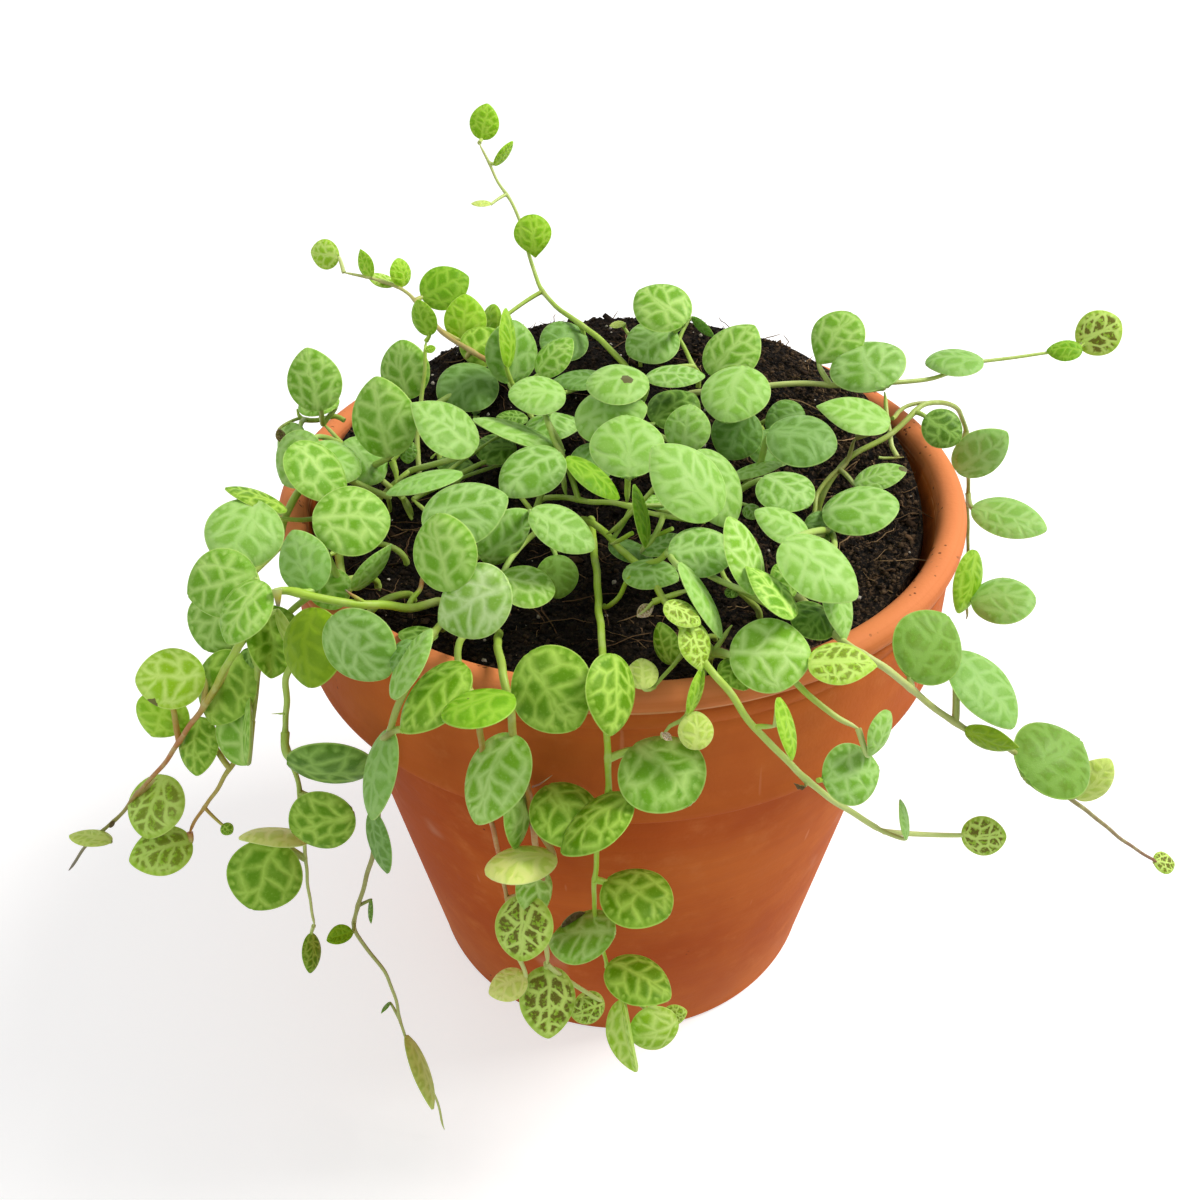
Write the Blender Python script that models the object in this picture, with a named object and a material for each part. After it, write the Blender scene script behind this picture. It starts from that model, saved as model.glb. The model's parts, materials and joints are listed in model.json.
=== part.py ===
"""A string of turtles (a small creeping peperomia) growing in a terracotta pot.

Every piece is its own object, in metres with +Z up. The origin is the centre of the pot's
foot, on the surface that it stands on, and -Y is the side from which the plant shows best.
"""

import math
from collections import namedtuple

import bmesh
import bpy
import numpy as np
from mathutils import Vector

MM = 0.001
GAP = 0.3  # mm between pieces that touch

# The pot, in mm: a standard clay pot, 110 mm over its rim
POT_HEIGHT = 100.0
RIM_RADIUS = 55.0
COLLAR_RADIUS = 54.0
COLLAR_HEIGHT = 25.0
STEP_DEPTH = 3.6  # how far the collar stands out from the body under it
FOOT_RADIUS = 38.0
WALL = 4.6
FLOOR_THICKNESS = 7.0
DRAIN_RADIUS = 6.0
LIP_ROUND = 2.2
GROOVE_DEPTH = 0.5
POT_SIDES = 48

# The soil, in mm: a mound that is highest behind the middle
SOIL_FRONT = 95.5
SOIL_RISE = 12.5
SOIL_SIDES = 32
SOIL_RINGS = 6

# The plant, in mm
STEM_SIDES = 5
STEM_STEP = 6.0
PETIOLE_RADIUS = 0.4
PETIOLE_SIDES = 3
LEAF_SIDES = 8
LEAF_LENGTH = 1.04  # length of a blade over its width
LEAF_DOME = 0.13  # how far its middle stands up, over its width
LEAF_THICKNESS = 0.11  # thickness in the middle, over its width

# One vine: its thickness at the root and at the tip, the points of its route from the soil
# to its tip, and its leaves. A leaf is the centre of its blade, the blade's width, and the
# way its upper face looks: a compass heading (0 is +X, 90 is +Y) and a rise over level.
Vine = namedtuple("Vine", "thick tip route leaves")
VINES = {
    "back_tall_vine": Vine(
        thick=1.5,
        tip=0.6,
        route=[
            (2, 22, 106.5), (-3, 28, 110), (-11, 38, 112), (-15, 46, 115),
            (-18, 53, 124), (-22, 58, 128.5), (-25, 62, 134),
        ],
        leaves=[
            (-15, 47, 121, 7.5, 270, 40), (-20, 61, 133, 4, 330, 30), (-24, 65, 137, 6, 270, 40),
            (-26, 52, 126, 2.5, 200, 60), (-21, 40, 111, 4.5, 180, 40), (-9, 33, 112, 6.5, 270, 40),
        ],
    ),
    "back_left_vine": Vine(
        thick=1.4,
        tip=0.6,
        route=[
            (-18, 21, 106), (-25, 25, 109), (-31, 30, 111), (-38, 39, 114.5),
            (-43, 40, 116.5), (-49, 40, 118),
        ],
        leaves=[
            (-31, 40, 115, 8.5, 270, 45), (-26, 33, 112, 9, 270, 50), (-39, 41, 117, 4.5, 290, 40),
            (-45, 40, 119, 3.5, 250, 50), (-43, 42, 115, 3.5, 270, 70), (-52, 42, 120, 5.5, 265, 40),
            (-24, 28, 109, 8, 270, 60),
        ],
    ),
    "left_upright_shoot": Vine(
        thick=1.2,
        tip=0.7,
        route=[
            (-33, 1, 99), (-33, 5, 105), (-32, 8, 111), (-31, 11, 118),
        ],
        leaves=[
            (-31, 11, 122, 5, 270, 35), (-30, 8, 118, 1.5, 0, 30),
        ],
    ),
    "back_right_vine": Vine(
        thick=1.5,
        tip=0.6,
        route=[
            (12, 17, 104.5), (21, 15, 106.5), (31, 15, 107.5), (39, 14, 107.5),
            (53, 17, 107), (63, 23, 107), (80, 27, 107), (84, 30, 107),
        ],
        leaves=[
            (36, 18, 114, 9.5, 270, 50), (41, 12, 112, 12, 280, 78), (57, 19, 109, 9, 275, 84),
            (79, 25, 108, 4.5, 280, 60), (87, 32, 108, 8, 275, 45),
        ],
    ),
    "right_rim_vine": Vine(
        thick=1.5,
        tip=0.7,
        route=[
            (32, -6, 97.5), (36, -3, 103), (44, 1, 106), (50, 6, 108),
            (57, 12, 104), (62, 17, 94), (66, 20, 76), (70, 20, 52),
        ],
        leaves=[
            (51, 0, 106, 6.5, 290, 60), (37, -1, 110, 11.5, 265, 86), (63, 11, 96, 8.5, 280, 45),
            (70, 11, 82, 12, 285, 84), (74, 13, 62, 11.5, 280, 72), (67, 18, 66, 6.5, 300, 60),
            (40, -13, 106, 6.5, 300, 80),
        ],
    ),
    "right_front_vine": Vine(
        thick=1.5,
        tip=0.6,
        route=[
            (25, -30, 96.5), (27, -47, 103), (31, -53, 103.5), (38, -51, 96),
            (45, -52, 90.5), (52, -52, 86.5), (64, -50, 74), (77, -47, 60.5),
            (82, -46, 56),
        ],
        leaves=[
            (24, -46, 103, 5.5, 290, 45), (26, -55, 106, 9, 265, 84), (39, -48, 101, 9.5, 275, 50),
            (47, -50, 96, 10, 290, 50), (48, -54, 91, 4.5, 200, 30), (58, -52, 85, 10, 285, 50),
            (65, -50, 79, 6, 290, 45), (83, -46, 56, 3.5, 300, 60),
        ],
    ),
    "front_right_vine": Vine(
        thick=1.6,
        tip=0.7,
        route=[
            (-9, -6, 98), (-5, -17, 101.5), (-1, -26, 103), (3, -34, 104),
            (5, -41, 104.5), (9, -54, 105), (16, -58, 98), (22, -58, 89),
            (28, -57, 82.5), (35, -56, 75.5),
        ],
        leaves=[
            (3, -26, 104, 7, 260, 65), (2.5, -35, 104.5, 7.5, 270, 60), (18, -62, 101, 7.5, 0, 40),
            (28, -60, 91, 8, 280, 45), (37, -57, 79, 5.5, 340, 30), (50, -54, 72, 6, 285, 45),
            (31, -58, 97, 6.5, 330, 35),
        ],
    ),
    "front_left_vine": Vine(
        thick=1.4,
        tip=0.6,
        route=[
            (-21, -35, 96.5), (-22, -48, 103), (-21, -53, 102.5), (-19, -56, 100),
            (-19, -57, 96), (-19, -57, 84), (-18, -56, 68.5), (-17, -55, 47.5),
        ],
        leaves=[
            (-24, -58, 103, 9, 255, 40), (-18, -63, 106, 9, 260, 86), (-17, -61, 92, 10.5, 240, 45),
            (-15, -58, 80, 6.5, 300, 45), (-15, -63, 78, 9, 90, 76), (-13, -57, 65, 5, 300, 50),
            (-15, -61, 62, 8, 270, 50), (-18, -58, 44, 6, 275, 70), (-13, -59, 41, 9, 280, 50),
            (-7, -55, 32, 5.5, 330, 50),
        ],
    ),
    "front_centre_vine": Vine(
        thick=1.6,
        tip=0.7,
        route=[
            (-5, -10, 97), (-4, -21, 99), (-3, -35, 100), (-4, -49, 102.5),
            (-3, -56, 102), (-3, -57, 94.5), (-3, -58, 86.5), (-4, -58, 74.5),
            (-5, -57, 63), (-3, -56, 47), (-1, -56, 36.5),
        ],
        leaves=[
            (-9, -59, 105, 10.5, 255, 50), (-2, -61, 106, 9, 320, 40), (4, -60, 91, 11, 280, 50),
            (-8, -60, 84, 8.5, 245, 50), (-4, -64, 87, 9.5, 250, 65), (2, -60, 67, 10.5, 285, 55),
            (-7, -59, 57, 8.5, 240, 60), (1, -59, 46, 10, 285, 55), (3, -58, 32, 9, 340, 25),
            (0, -60, 32, 7, 200, 20),
        ],
    ),
    "left_long_vine": Vine(
        thick=1.7,
        tip=0.6,
        route=[
            (-27, -31, 96.5), (-29, -36, 101), (-36, -40, 105), (-44, -40, 106.5),
            (-50, -40, 102), (-54, -37, 95.5), (-61, -34, 84), (-66, -34, 77),
            (-72, -35, 69), (-80, -36, 60), (-86, -37, 54.5), (-92, -37, 47),
        ],
        leaves=[
            (-44, -37, 109, 7, 255, 50), (-53, -41, 108, 9, 250, 50), (-51, -39, 103, 7.5, 275, 45),
            (-49, -38, 96, 9, 300, 40), (-68, -32, 84, 10, 245, 50), (-60, -33, 82, 10.5, 290, 40),
            (-72, -29, 74, 6.5, 220, 40), (-74, -37, 62, 9, 250, 45), (-85, -39, 57, 6.5, 200, 70),
            (-82, -37, 58, 2.5, 300, 40),
        ],
    ),
    "left_second_vine": Vine(
        thick=1.4,
        tip=0.7,
        route=[
            (-37, -25, 97), (-41, -32, 101.5), (-46, -38, 101.5), (-50, -43, 95.5),
            (-52, -43, 89), (-55, -41, 77), (-62, -40, 67.5), (-66, -39, 59.5),
            (-69, -39, 56),
        ],
        leaves=[
            (-41, -34, 102, 6, 280, 50), (-54, -45, 87, 11, 300, 30), (-65, -38, 76, 8, 235, 45),
            (-62, -41, 61, 2, 300, 50), (-73, -41, 56, 9.5, 250, 45),
        ],
    ),
    "left_hanging_vine": Vine(
        thick=1.5,
        tip=0.6,
        route=[
            (-31, -29, 97), (-34, -36, 101), (-37, -43, 101.5), (-43, -47, 98.5),
            (-47, -44, 89.5), (-50, -41, 79.5), (-50, -39, 69.5), (-52, -38, 52.5),
            (-54, -37, 31.5),
        ],
        leaves=[
            (-33, -50, 105, 9.5, 255, 45), (-40, -50, 105, 9.5, 250, 30), (-42, -46, 80, 11.5, 290, -15),
            (-45, -44, 66, 10, 250, 45), (-54, -42, 60, 9.5, 200, 75), (-58, -41, 51, 12, 240, 40),
            (-56, -37, 25, 7.5, 300, 40),
        ],
    ),
    "left_bare_vine": Vine(
        thick=1.4,
        tip=0.5,
        route=[
            (-26, -36, 97), (-26, -46, 102), (-28, -54, 102), (-30, -55, 97),
            (-33, -52, 86.5), (-36, -51, 71.5), (-40, -50, 57), (-43, -49, 46),
            (-39, -50, 35.5), (-38, -51, 23), (-36, -53, 15.5), (-33, -56, 7.5),
            (-32, -58, 2),
        ],
        leaves=[
            (-27, -56, 107, 8.5, 200, 35), (-32, -56, 89, 10, 200, 30), (-35, -54, 72, 8, 190, 30),
            (-44, -52, 49, 4, 250, 60), (-37, -52, 22, 2, 300, 40), (-34, -55, 14, 1.5, 200, 50),
        ],
    ),
    "crown_shoot_left": Vine(
        thick=1.4,
        tip=0.8,
        route=[
            (-34, -6, 97.5), (-38, -4, 101), (-44, 1, 104), (-48, 4, 107),
        ],
        leaves=[
            (-48, 3, 116, 8.5, 255, 45), (-49, 5, 110, 7, 270, 85), (-37, -4, 113, 12.5, 265, 50),
            (-51, -6, 107, 7.5, 245, 65), (-44, -15, 110, 11, 245, 68), (-41, -3, 104, 8.5, 270, 65),
            (-52, 3, 106, 7, 250, 60),
        ],
    ),
    "crown_shoot_left_rear": Vine(
        thick=1.2,
        tip=0.8,
        route=[
            (-30, 5, 100), (-32, 9, 103), (-35, 12, 106),
        ],
        leaves=[
            (-35, 11, 113, 8.5, 280, 38), (-26, -8, 112, 11.5, 290, 55), (-26, 18, 106, 10.5, 270, 70),
            (-35, 0, 106, 7, 270, 60),
        ],
    ),
    "crown_shoot_left_front": Vine(
        thick=1.4,
        tip=0.8,
        route=[
            (-33, -19, 96.5), (-36, -19, 99), (-40, -22, 101), (-44, -27, 102),
        ],
        leaves=[
            (-37, -32, 112, 10, 265, 50), (-35, -33, 105, 7, 300, 40),
        ],
    ),
    "crown_shoot_edge": Vine(
        thick=1.3,
        tip=0.8,
        route=[
            (-45, -9, 97), (-48, -18, 103), (-52, -20, 105),
        ],
        leaves=[
            (-53, -29, 108, 11.5, 250, 55), (-52, -22, 110, 8, 90, 75), (-59, -24, 100, 6, 250, 40),
        ],
    ),
    "crown_shoot_centre_left": Vine(
        thick=1.4,
        tip=0.8,
        route=[
            (-22, -30, 96.5), (-23, -26, 99), (-27, -18, 101), (-32, -12, 102.5),
        ],
        leaves=[
            (-29, -18, 109, 11.5, 90, 77), (-21, -32, 113, 11.5, 300, 68), (-23, -44, 115, 9.5, 265, 45),
            (-19, -48, 110, 9.5, 265, 45), (-17, -30, 108, 8, 310, 45), (-22, -1, 104, 9, 275, 75),
        ],
    ),
    "crown_shoot_centre": Vine(
        thick=1.4,
        tip=0.8,
        route=[
            (-10, -16, 96.5), (-12, -17, 101), (-15, -12, 102), (-18, -7, 103),
        ],
        leaves=[
            (-13, -17, 110, 11.5, 260, 80), (-8, -35, 112, 9.5, 250, 70), (-9, -32, 103, 5.5, 280, 40),
            (-14, -38, 105, 7, 280, 60),
        ],
    ),
    "crown_shoot_rear_left": Vine(
        thick=1.3,
        tip=0.8,
        route=[
            (-12, 8, 101), (-15, 12, 104), (-17, 14, 106.5),
        ],
        leaves=[
            (-19, 16, 116, 9, 355, 12), (-16, 19, 112, 10.5, 280, 50), (-11, 15, 113, 7.5, 250, 50),
            (-13, 1, 114, 9.5, 275, 82), (-17, -2, 109, 14, 90, 72),
            (-5, 18, 107, 9.5, 90, 80), (-11, 4, 106, 8, 275, 75),
        ],
    ),
    "crown_shoot_middle": Vine(
        thick=1.4,
        tip=0.8,
        route=[
            (-7, 2, 99), (-5, 0, 103), (-2, 1, 105), (3, 3, 106.5),
        ],
        leaves=[
            (-1, -4, 113, 11.5, 275, 66), (0, -4, 118, 9.5, 275, 75), (1, -20, 116, 10, 270, 60),
            (10, -8, 112, 7.5, 280, 50), (8, 7, 108, 10, 270, 70), (-5, -10, 106, 8, 270, 65),
        ],
    ),
    "crown_shoot_rear": Vine(
        thick=1.3,
        tip=0.8,
        route=[
            (14, 21, 106), (13, 20, 108.5), (12, 23, 110), (10, 26, 112),
        ],
        leaves=[
            (8, 23, 118, 10, 265, 68), (6, 24, 111, 9.5, 275, 68), (9, 7, 113, 9.5, 90, 80),
            (14, 25, 110, 5, 200, 30),
        ],
    ),
    "crown_shoot_rear_bud": Vine(
        thick=1.0,
        tip=0.7,
        route=[
            (4, 25, 107), (3, 26, 110), (1, 28, 113),
        ],
        leaves=[
            (1, 25, 114, 3, 200, 40),
        ],
    ),
    "crown_shoot_rear_right": Vine(
        thick=1.3,
        tip=0.8,
        route=[
            (24, 10, 101.5), (21, 12, 104), (18, 12, 107),
        ],
        leaves=[
            (19, 14, 114, 10.5, 290, 66), (18, -3, 115, 10.5, 275, 64), (19, -4, 108, 9.5, 270, 70),
            (27, 3, 108, 8.5, 270, 70),
        ],
    ),
    "crown_shoot_right": Vine(
        thick=1.4,
        tip=0.8,
        route=[
            (3, -6, 98), (8, -18, 103), (15, -16, 104), (21, -9, 104.5),
        ],
        leaves=[
            (9, -31, 117, 11.5, 300, 65), (15, -25, 111, 10, 320, 55), (27, -13, 112, 10.5, 270, 70),
            (23, -23, 110, 8.5, 280, 78), (18, -11, 107, 7.5, 270, 80), (24, -2, 105, 8, 275, 70),
            (19, -22, 106, 3, 280, 40),
        ],
    ),
    "crown_shoot_right_edge": Vine(
        thick=1.3,
        tip=0.8,
        route=[
            (25, -21, 96.5), (29, -21, 100), (31, -21, 102),
        ],
        leaves=[
            (33, -25, 108, 10.5, 275, 75), (22, -30, 109, 7.5, 285, 50), (24, -46, 112, 10, 290, 50),
            (27, -46, 106, 6.5, 350, 30), (29, -25, 104, 6.5, 280, 50),
        ],
    ),
    "crown_shoot_front_right": Vine(
        thick=1.4,
        tip=0.8,
        route=[
            (19, -33, 96), (17, -35, 100), (14, -35, 103), (13, -31, 104),
        ],
        leaves=[
            (10, -39, 111, 9, 275, 60), (14, -43, 114, 9.5, 330, 45), (17, -48, 112, 8, 340, 20),
            (21, -43, 106, 6.5, 330, 40), (16, -36, 102, 5.5, 280, 50), (7, -46, 111.5, 10, 340, 15),
        ],
    ),
    "crown_shoot_front": Vine(
        thick=1.4,
        tip=0.8,
        route=[
            (11, -44, 97), (11, -47, 100), (14, -42, 101),
        ],
        leaves=[
            (17, -53, 105, 10.5, 280, 58), (13, -53, 102, 6, 260, 50), (7, -53, 108, 7.5, 300, 45),
        ],
    ),
    "crown_shoot_front_small": Vine(
        thick=1.1,
        tip=0.6,
        route=[
            (12, -39, 96.5), (8, -48, 101), (4, -54, 102.5),
        ],
        leaves=[
            (1, -55, 104, 4, 265, 50), (5, -45, 102, 6, 240, 45), (8, -59, 99, 5, 285, 45),
        ],
    ),
    "crown_shoot_middle_low": Vine(
        thick=1.3,
        tip=0.8,
        route=[
            (5, -16, 96.5), (5, -24, 99), (6, -30, 101),
        ],
        leaves=[
            (2, -31, 112, 8, 355, 12), (0, -17, 103, 5.5, 280, 60), (5, -18, 106, 7.5, 90, 80),
        ],
    ),
}


def clear_scene():
    for obj in list(bpy.data.objects):
        bpy.data.objects.remove(obj, do_unlink=True)


def material(name, colour, roughness):
    """A Principled material of one colour."""
    made = bpy.data.materials.new(name)
    made.use_nodes = True
    shader = made.node_tree.nodes["Principled BSDF"]
    shader.inputs["Base Color"].default_value = (*colour, 1.0)
    shader.inputs["Roughness"].default_value = roughness
    shader.inputs["Metallic"].default_value = 0.0
    return made


def add_object(name, bm, finish):
    """Turns a bmesh in millimetres into an object in metres."""
    bmesh.ops.recalc_face_normals(bm, faces=bm.faces)
    bmesh.ops.scale(bm, vec=(MM, MM, MM), verts=bm.verts)
    mesh = bpy.data.meshes.new(name)
    bm.to_mesh(mesh)
    bm.free()
    mesh.materials.append(finish)
    mesh.shade_smooth()
    mesh.set_sharp_from_angle(angle=math.radians(40))
    obj = bpy.data.objects.new(name, mesh)
    bpy.context.scene.collection.objects.link(obj)
    return obj


def turn_profile(profile, sides):
    """A closed (radius, height) profile turned once round Z."""
    bm = bmesh.new()
    rings = []
    for radius, height in profile:
        ring = []
        for i in range(sides):
            angle = math.tau * i / sides
            ring.append(bm.verts.new((radius * math.cos(angle), radius * math.sin(angle), height)))
        rings.append(ring)
    for lower, upper in zip(rings, rings[1:] + rings[:1]):
        for i in range(sides):
            j = (i + 1) % sides
            bm.faces.new((lower[i], lower[j], upper[j], upper[i]))
    return bm


def body_radius(height):
    """The outer radius of the tapering body, which runs up to the collar's step."""
    step_height = POT_HEIGHT - COLLAR_HEIGHT
    step_radius = COLLAR_RADIUS - STEP_DEPTH
    return FOOT_RADIUS + (step_radius - FOOT_RADIUS) * height / step_height


def pot_profile():
    """The pot's section, from the drain hole out along the foot, up, over the lip and down."""
    step_height = POT_HEIGHT - COLLAR_HEIGHT
    lip_height = POT_HEIGHT - LIP_ROUND
    profile = [(DRAIN_RADIUS, 0.0), (FOOT_RADIUS - 1.0, 0.0), (FOOT_RADIUS, 1.0)]
    profile.append((body_radius(step_height), step_height))
    profile.append((COLLAR_RADIUS - 0.3, step_height))
    profile.append((COLLAR_RADIUS, step_height + 0.8))
    profile.append((COLLAR_RADIUS, lip_height - 2.4))
    profile.append((COLLAR_RADIUS - GROOVE_DEPTH, lip_height - 1.8))
    profile.append((COLLAR_RADIUS + 0.4, lip_height - 1.2))
    for degrees in (0, 40, 90, 140, 180):
        angle = math.radians(degrees)
        radius = RIM_RADIUS - LIP_ROUND + LIP_ROUND * math.cos(angle)
        profile.append((radius, lip_height + LIP_ROUND * math.sin(angle)))
    profile.append((RIM_RADIUS - WALL, lip_height - 3.0))
    profile.append((body_radius(step_height) - WALL, step_height - 4.0))
    profile.append((body_radius(FLOOR_THICKNESS) - WALL - 1.0, FLOOR_THICKNESS + 1.5))
    profile.append((body_radius(FLOOR_THICKNESS) - WALL - 2.5, FLOOR_THICKNESS))
    profile.append((DRAIN_RADIUS, FLOOR_THICKNESS))
    return profile


def inner_radius(height):
    """The radius of the pot's inner wall at a height."""
    points = [(z, r) for r, z in pot_profile()[-5:-1]]
    points.sort()
    heights, radii = zip(*points)
    return float(np.interp(height, heights, radii))


def terracotta_pot():
    clay = material("terracotta", (0.56, 0.22, 0.10), 0.85)
    return add_object("terracotta_pot", turn_profile(pot_profile(), POT_SIDES), clay)


def eased(t):
    """0 below 0, 1 above 1, and a smooth step between."""
    t = min(max(t, 0.0), 1.0)
    return t * t * (3.0 - 2.0 * t)


def soil_height(x, y):
    """The top of the soil: low at the front, heaped up at the back, and lower by the rim."""
    back = eased((y + 15.0) / 55.0)
    edge = eased((math.hypot(x, y) - 40.0) / 12.0)
    lumps = 0.5 * math.sin(0.31 * x + 1.0) * math.cos(0.27 * y)
    return SOIL_FRONT + SOIL_RISE * back * (1.0 - 0.45 * edge) + lumps


def potting_soil():
    """One solid that fills the pot from its floor up to the mound."""
    bm = bmesh.new()
    floor = FLOOR_THICKNESS + GAP
    rings = []
    for level in (floor, floor + 1.5, 71.0, 90.0):
        radius = inner_radius(level - GAP) - 2.0 * GAP
        ring = []
        for i in range(SOIL_SIDES):
            angle = math.tau * i / SOIL_SIDES
            ring.append(bm.verts.new((radius * math.cos(angle), radius * math.sin(angle), level)))
        rings.append(ring)
    top_radius = RIM_RADIUS - WALL - 2.0
    for step in range(SOIL_RINGS):
        radius = top_radius * (1.0 - step / SOIL_RINGS)
        drop = 1.5 if step == 0 else 0.0
        ring = []
        for i in range(SOIL_SIDES):
            angle = math.tau * i / SOIL_SIDES
            x, y = radius * math.cos(angle), radius * math.sin(angle)
            ring.append(bm.verts.new((x, y, soil_height(x, y) - drop)))
        rings.append(ring)
    for lower, upper in zip(rings, rings[1:]):
        for i in range(SOIL_SIDES):
            j = (i + 1) % SOIL_SIDES
            bm.faces.new((lower[i], lower[j], upper[j], upper[i]))
    foot = bm.verts.new((0.0, 0.0, floor))
    crown = bm.verts.new((0.0, 0.0, soil_height(0.0, 0.0)))
    for i in range(SOIL_SIDES):
        j = (i + 1) % SOIL_SIDES
        bm.faces.new((foot, rings[0][j], rings[0][i]))
        bm.faces.new((crown, rings[-1][i], rings[-1][j]))
    peat = material("potting_soil", (0.035, 0.024, 0.018), 0.95)
    return add_object("potting_soil", bm, peat)


def smooth_route(points, step):
    """Points about a step apart along the smooth curve through a route's own points."""
    points = [Vector(point) for point in points]
    padded = [2 * points[0] - points[1], *points, 2 * points[-1] - points[-2]]
    curve = []
    for before, start, end, after in zip(padded, padded[1:], padded[2:], padded[3:]):
        count = max(1, round((end - start).length / step))
        for i in range(count):
            t = i / count
            curve.append(
                start
                + 0.5 * t * (end - before)
                + t * t * (before - 2.5 * start + 2 * end - 0.5 * after)
                + t**3 * (1.5 * (start - end) + 0.5 * (after - before))
            )
    return [*curve, points[-1]]


def add_tube(bm, centres, radii, sides):
    """A closed round tube along a list of centres."""
    across = None
    rings = []
    for i, (centre, radius) in enumerate(zip(centres, radii)):
        along = (centres[min(i + 1, len(centres) - 1)] - centres[max(i - 1, 0)]).normalized()
        if across is None:
            across = along.orthogonal()
        across = (across - along * across.dot(along)).normalized()
        third = along.cross(across)
        ring = []
        for k in range(sides):
            angle = math.tau * k / sides
            offset = across * math.cos(angle) + third * math.sin(angle)
            ring.append(bm.verts.new(centre + offset * radius))
        rings.append(ring)
    for first, second in zip(rings, rings[1:]):
        for k in range(sides):
            j = (k + 1) % sides
            bm.faces.new((first[k], first[j], second[j], second[k]))
    bm.faces.new(rings[0][::-1])
    bm.faces.new(rings[-1])


def facing(heading, rise):
    """The direction with a compass heading and a rise over level, both in degrees."""
    heading, rise = math.radians(heading), math.radians(rise)
    level = math.cos(rise)
    return Vector((level * math.cos(heading), level * math.sin(heading), math.sin(rise)))


def add_leaf(bm, leaf, stem):
    """A fleshy domed blade, and the petiole that joins it to the nearest point of its stem."""
    x, y, z, width, heading, rise = leaf
    centre = Vector((x, y, z))
    normal = facing(heading, rise)
    node = min(stem, key=lambda point: (point - centre).length)
    midrib = centre - node
    midrib -= normal * midrib.dot(normal)
    if midrib.length < 0.3:
        midrib = Vector((0, 0, -1)) + normal * normal.z
    midrib.normalize()
    across = normal.cross(midrib)
    length = width * LEAF_LENGTH

    def ring(size, lift):
        made = []
        for k in range(LEAF_SIDES):
            angle = math.tau * k / LEAF_SIDES
            offset = midrib * (0.5 * length * math.cos(angle)) + across * (0.5 * width * math.sin(angle))
            made.append(bm.verts.new(centre + offset * size + normal * lift))
        return made

    dome = LEAF_DOME * width
    rim = ring(1.0, 0.0)
    shoulder = ring(0.62, 0.72 * dome)
    top = bm.verts.new(centre + normal * dome)
    under = bm.verts.new(centre + normal * (dome - LEAF_THICKNESS * width))
    for k in range(LEAF_SIDES):
        j = (k + 1) % LEAF_SIDES
        bm.faces.new((rim[k], rim[j], shoulder[j], shoulder[k]))
        bm.faces.new((shoulder[k], shoulder[j], top))
        bm.faces.new((rim[j], rim[k], under))
    joint = centre - midrib * (0.5 * length - 0.16 * width) + normal * (0.1 * dome)
    if (joint - node).length > 0.5:
        add_tube(bm, [node, joint], [PETIOLE_RADIUS] * 2, PETIOLE_SIDES)


def grow(name, vine, green):
    """One vine: its stem, with all its leaves joined to it."""
    stem = smooth_route(vine.route, STEM_STEP)
    last = len(stem) - 1
    radii = [0.5 * (vine.thick + (vine.tip - vine.thick) * i / last) for i in range(last + 1)]
    bm = bmesh.new()
    add_tube(bm, stem, radii, STEM_SIDES)
    obj = add_object(name, bm, green)

    nodes = [start.lerp(end, k / 5) for start, end in zip(stem, stem[1:]) for k in range(1, 6)]
    bm = bmesh.new()
    for leaf in vine.leaves:
        add_leaf(bm, leaf, nodes)
    leaves = add_object(name + "_leaves", bm, green)
    leaves.hide_render = True
    leaves.display_type = "WIRE"
    join = obj.modifiers.new("join_leaves", "BOOLEAN")
    join.operation = "UNION"
    join.solver = "EXACT"
    join.use_self = True
    join.object = leaves
    return obj


def plant():
    for name, vine in VINES.items():
        green = material(name + "_green", (0.25, 0.46, 0.10), 0.45)
        grow(name, vine, green)


clear_scene()
terracotta_pot()
potting_soil()
plant()
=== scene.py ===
"""A string of turtles, a small creeping peperomia, that trails out of a terracotta pot.

Everything is in the model's own frame, with +Z up and the pot's foot on z = 0. Sizes and
places are in millimetres, and each mesh is scaled to metres as it is made.
"""

import json
import math
import random
from collections import namedtuple

import bmesh
import bpy
import numpy as np
from mathutils import Matrix, Vector

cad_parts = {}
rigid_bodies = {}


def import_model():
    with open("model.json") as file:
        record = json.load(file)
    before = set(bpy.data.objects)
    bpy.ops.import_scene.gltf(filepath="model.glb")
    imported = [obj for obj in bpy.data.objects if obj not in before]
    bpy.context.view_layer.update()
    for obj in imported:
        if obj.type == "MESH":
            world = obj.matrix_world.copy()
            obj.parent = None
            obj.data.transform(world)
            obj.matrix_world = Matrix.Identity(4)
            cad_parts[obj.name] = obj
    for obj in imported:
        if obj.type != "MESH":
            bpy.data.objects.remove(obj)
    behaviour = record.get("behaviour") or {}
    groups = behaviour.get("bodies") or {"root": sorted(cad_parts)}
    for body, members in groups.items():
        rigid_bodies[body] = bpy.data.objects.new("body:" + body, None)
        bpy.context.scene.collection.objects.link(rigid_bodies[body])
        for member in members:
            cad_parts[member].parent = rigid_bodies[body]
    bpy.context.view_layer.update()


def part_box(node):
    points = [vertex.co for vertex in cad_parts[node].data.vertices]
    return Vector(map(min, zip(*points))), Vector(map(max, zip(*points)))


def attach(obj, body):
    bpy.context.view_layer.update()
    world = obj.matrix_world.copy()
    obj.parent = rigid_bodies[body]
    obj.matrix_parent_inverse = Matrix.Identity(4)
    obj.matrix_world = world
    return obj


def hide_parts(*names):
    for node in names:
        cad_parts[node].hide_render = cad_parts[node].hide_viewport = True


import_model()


# ---------------------------------------------------------------- the terracotta pot
# One piece of red clay, pressed and turned on a wheel and fired without a glaze: a rounded
# lip over a thick collar, a body that tapers to the foot, and a hole in its floor for water.

MM = 0.001


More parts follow.
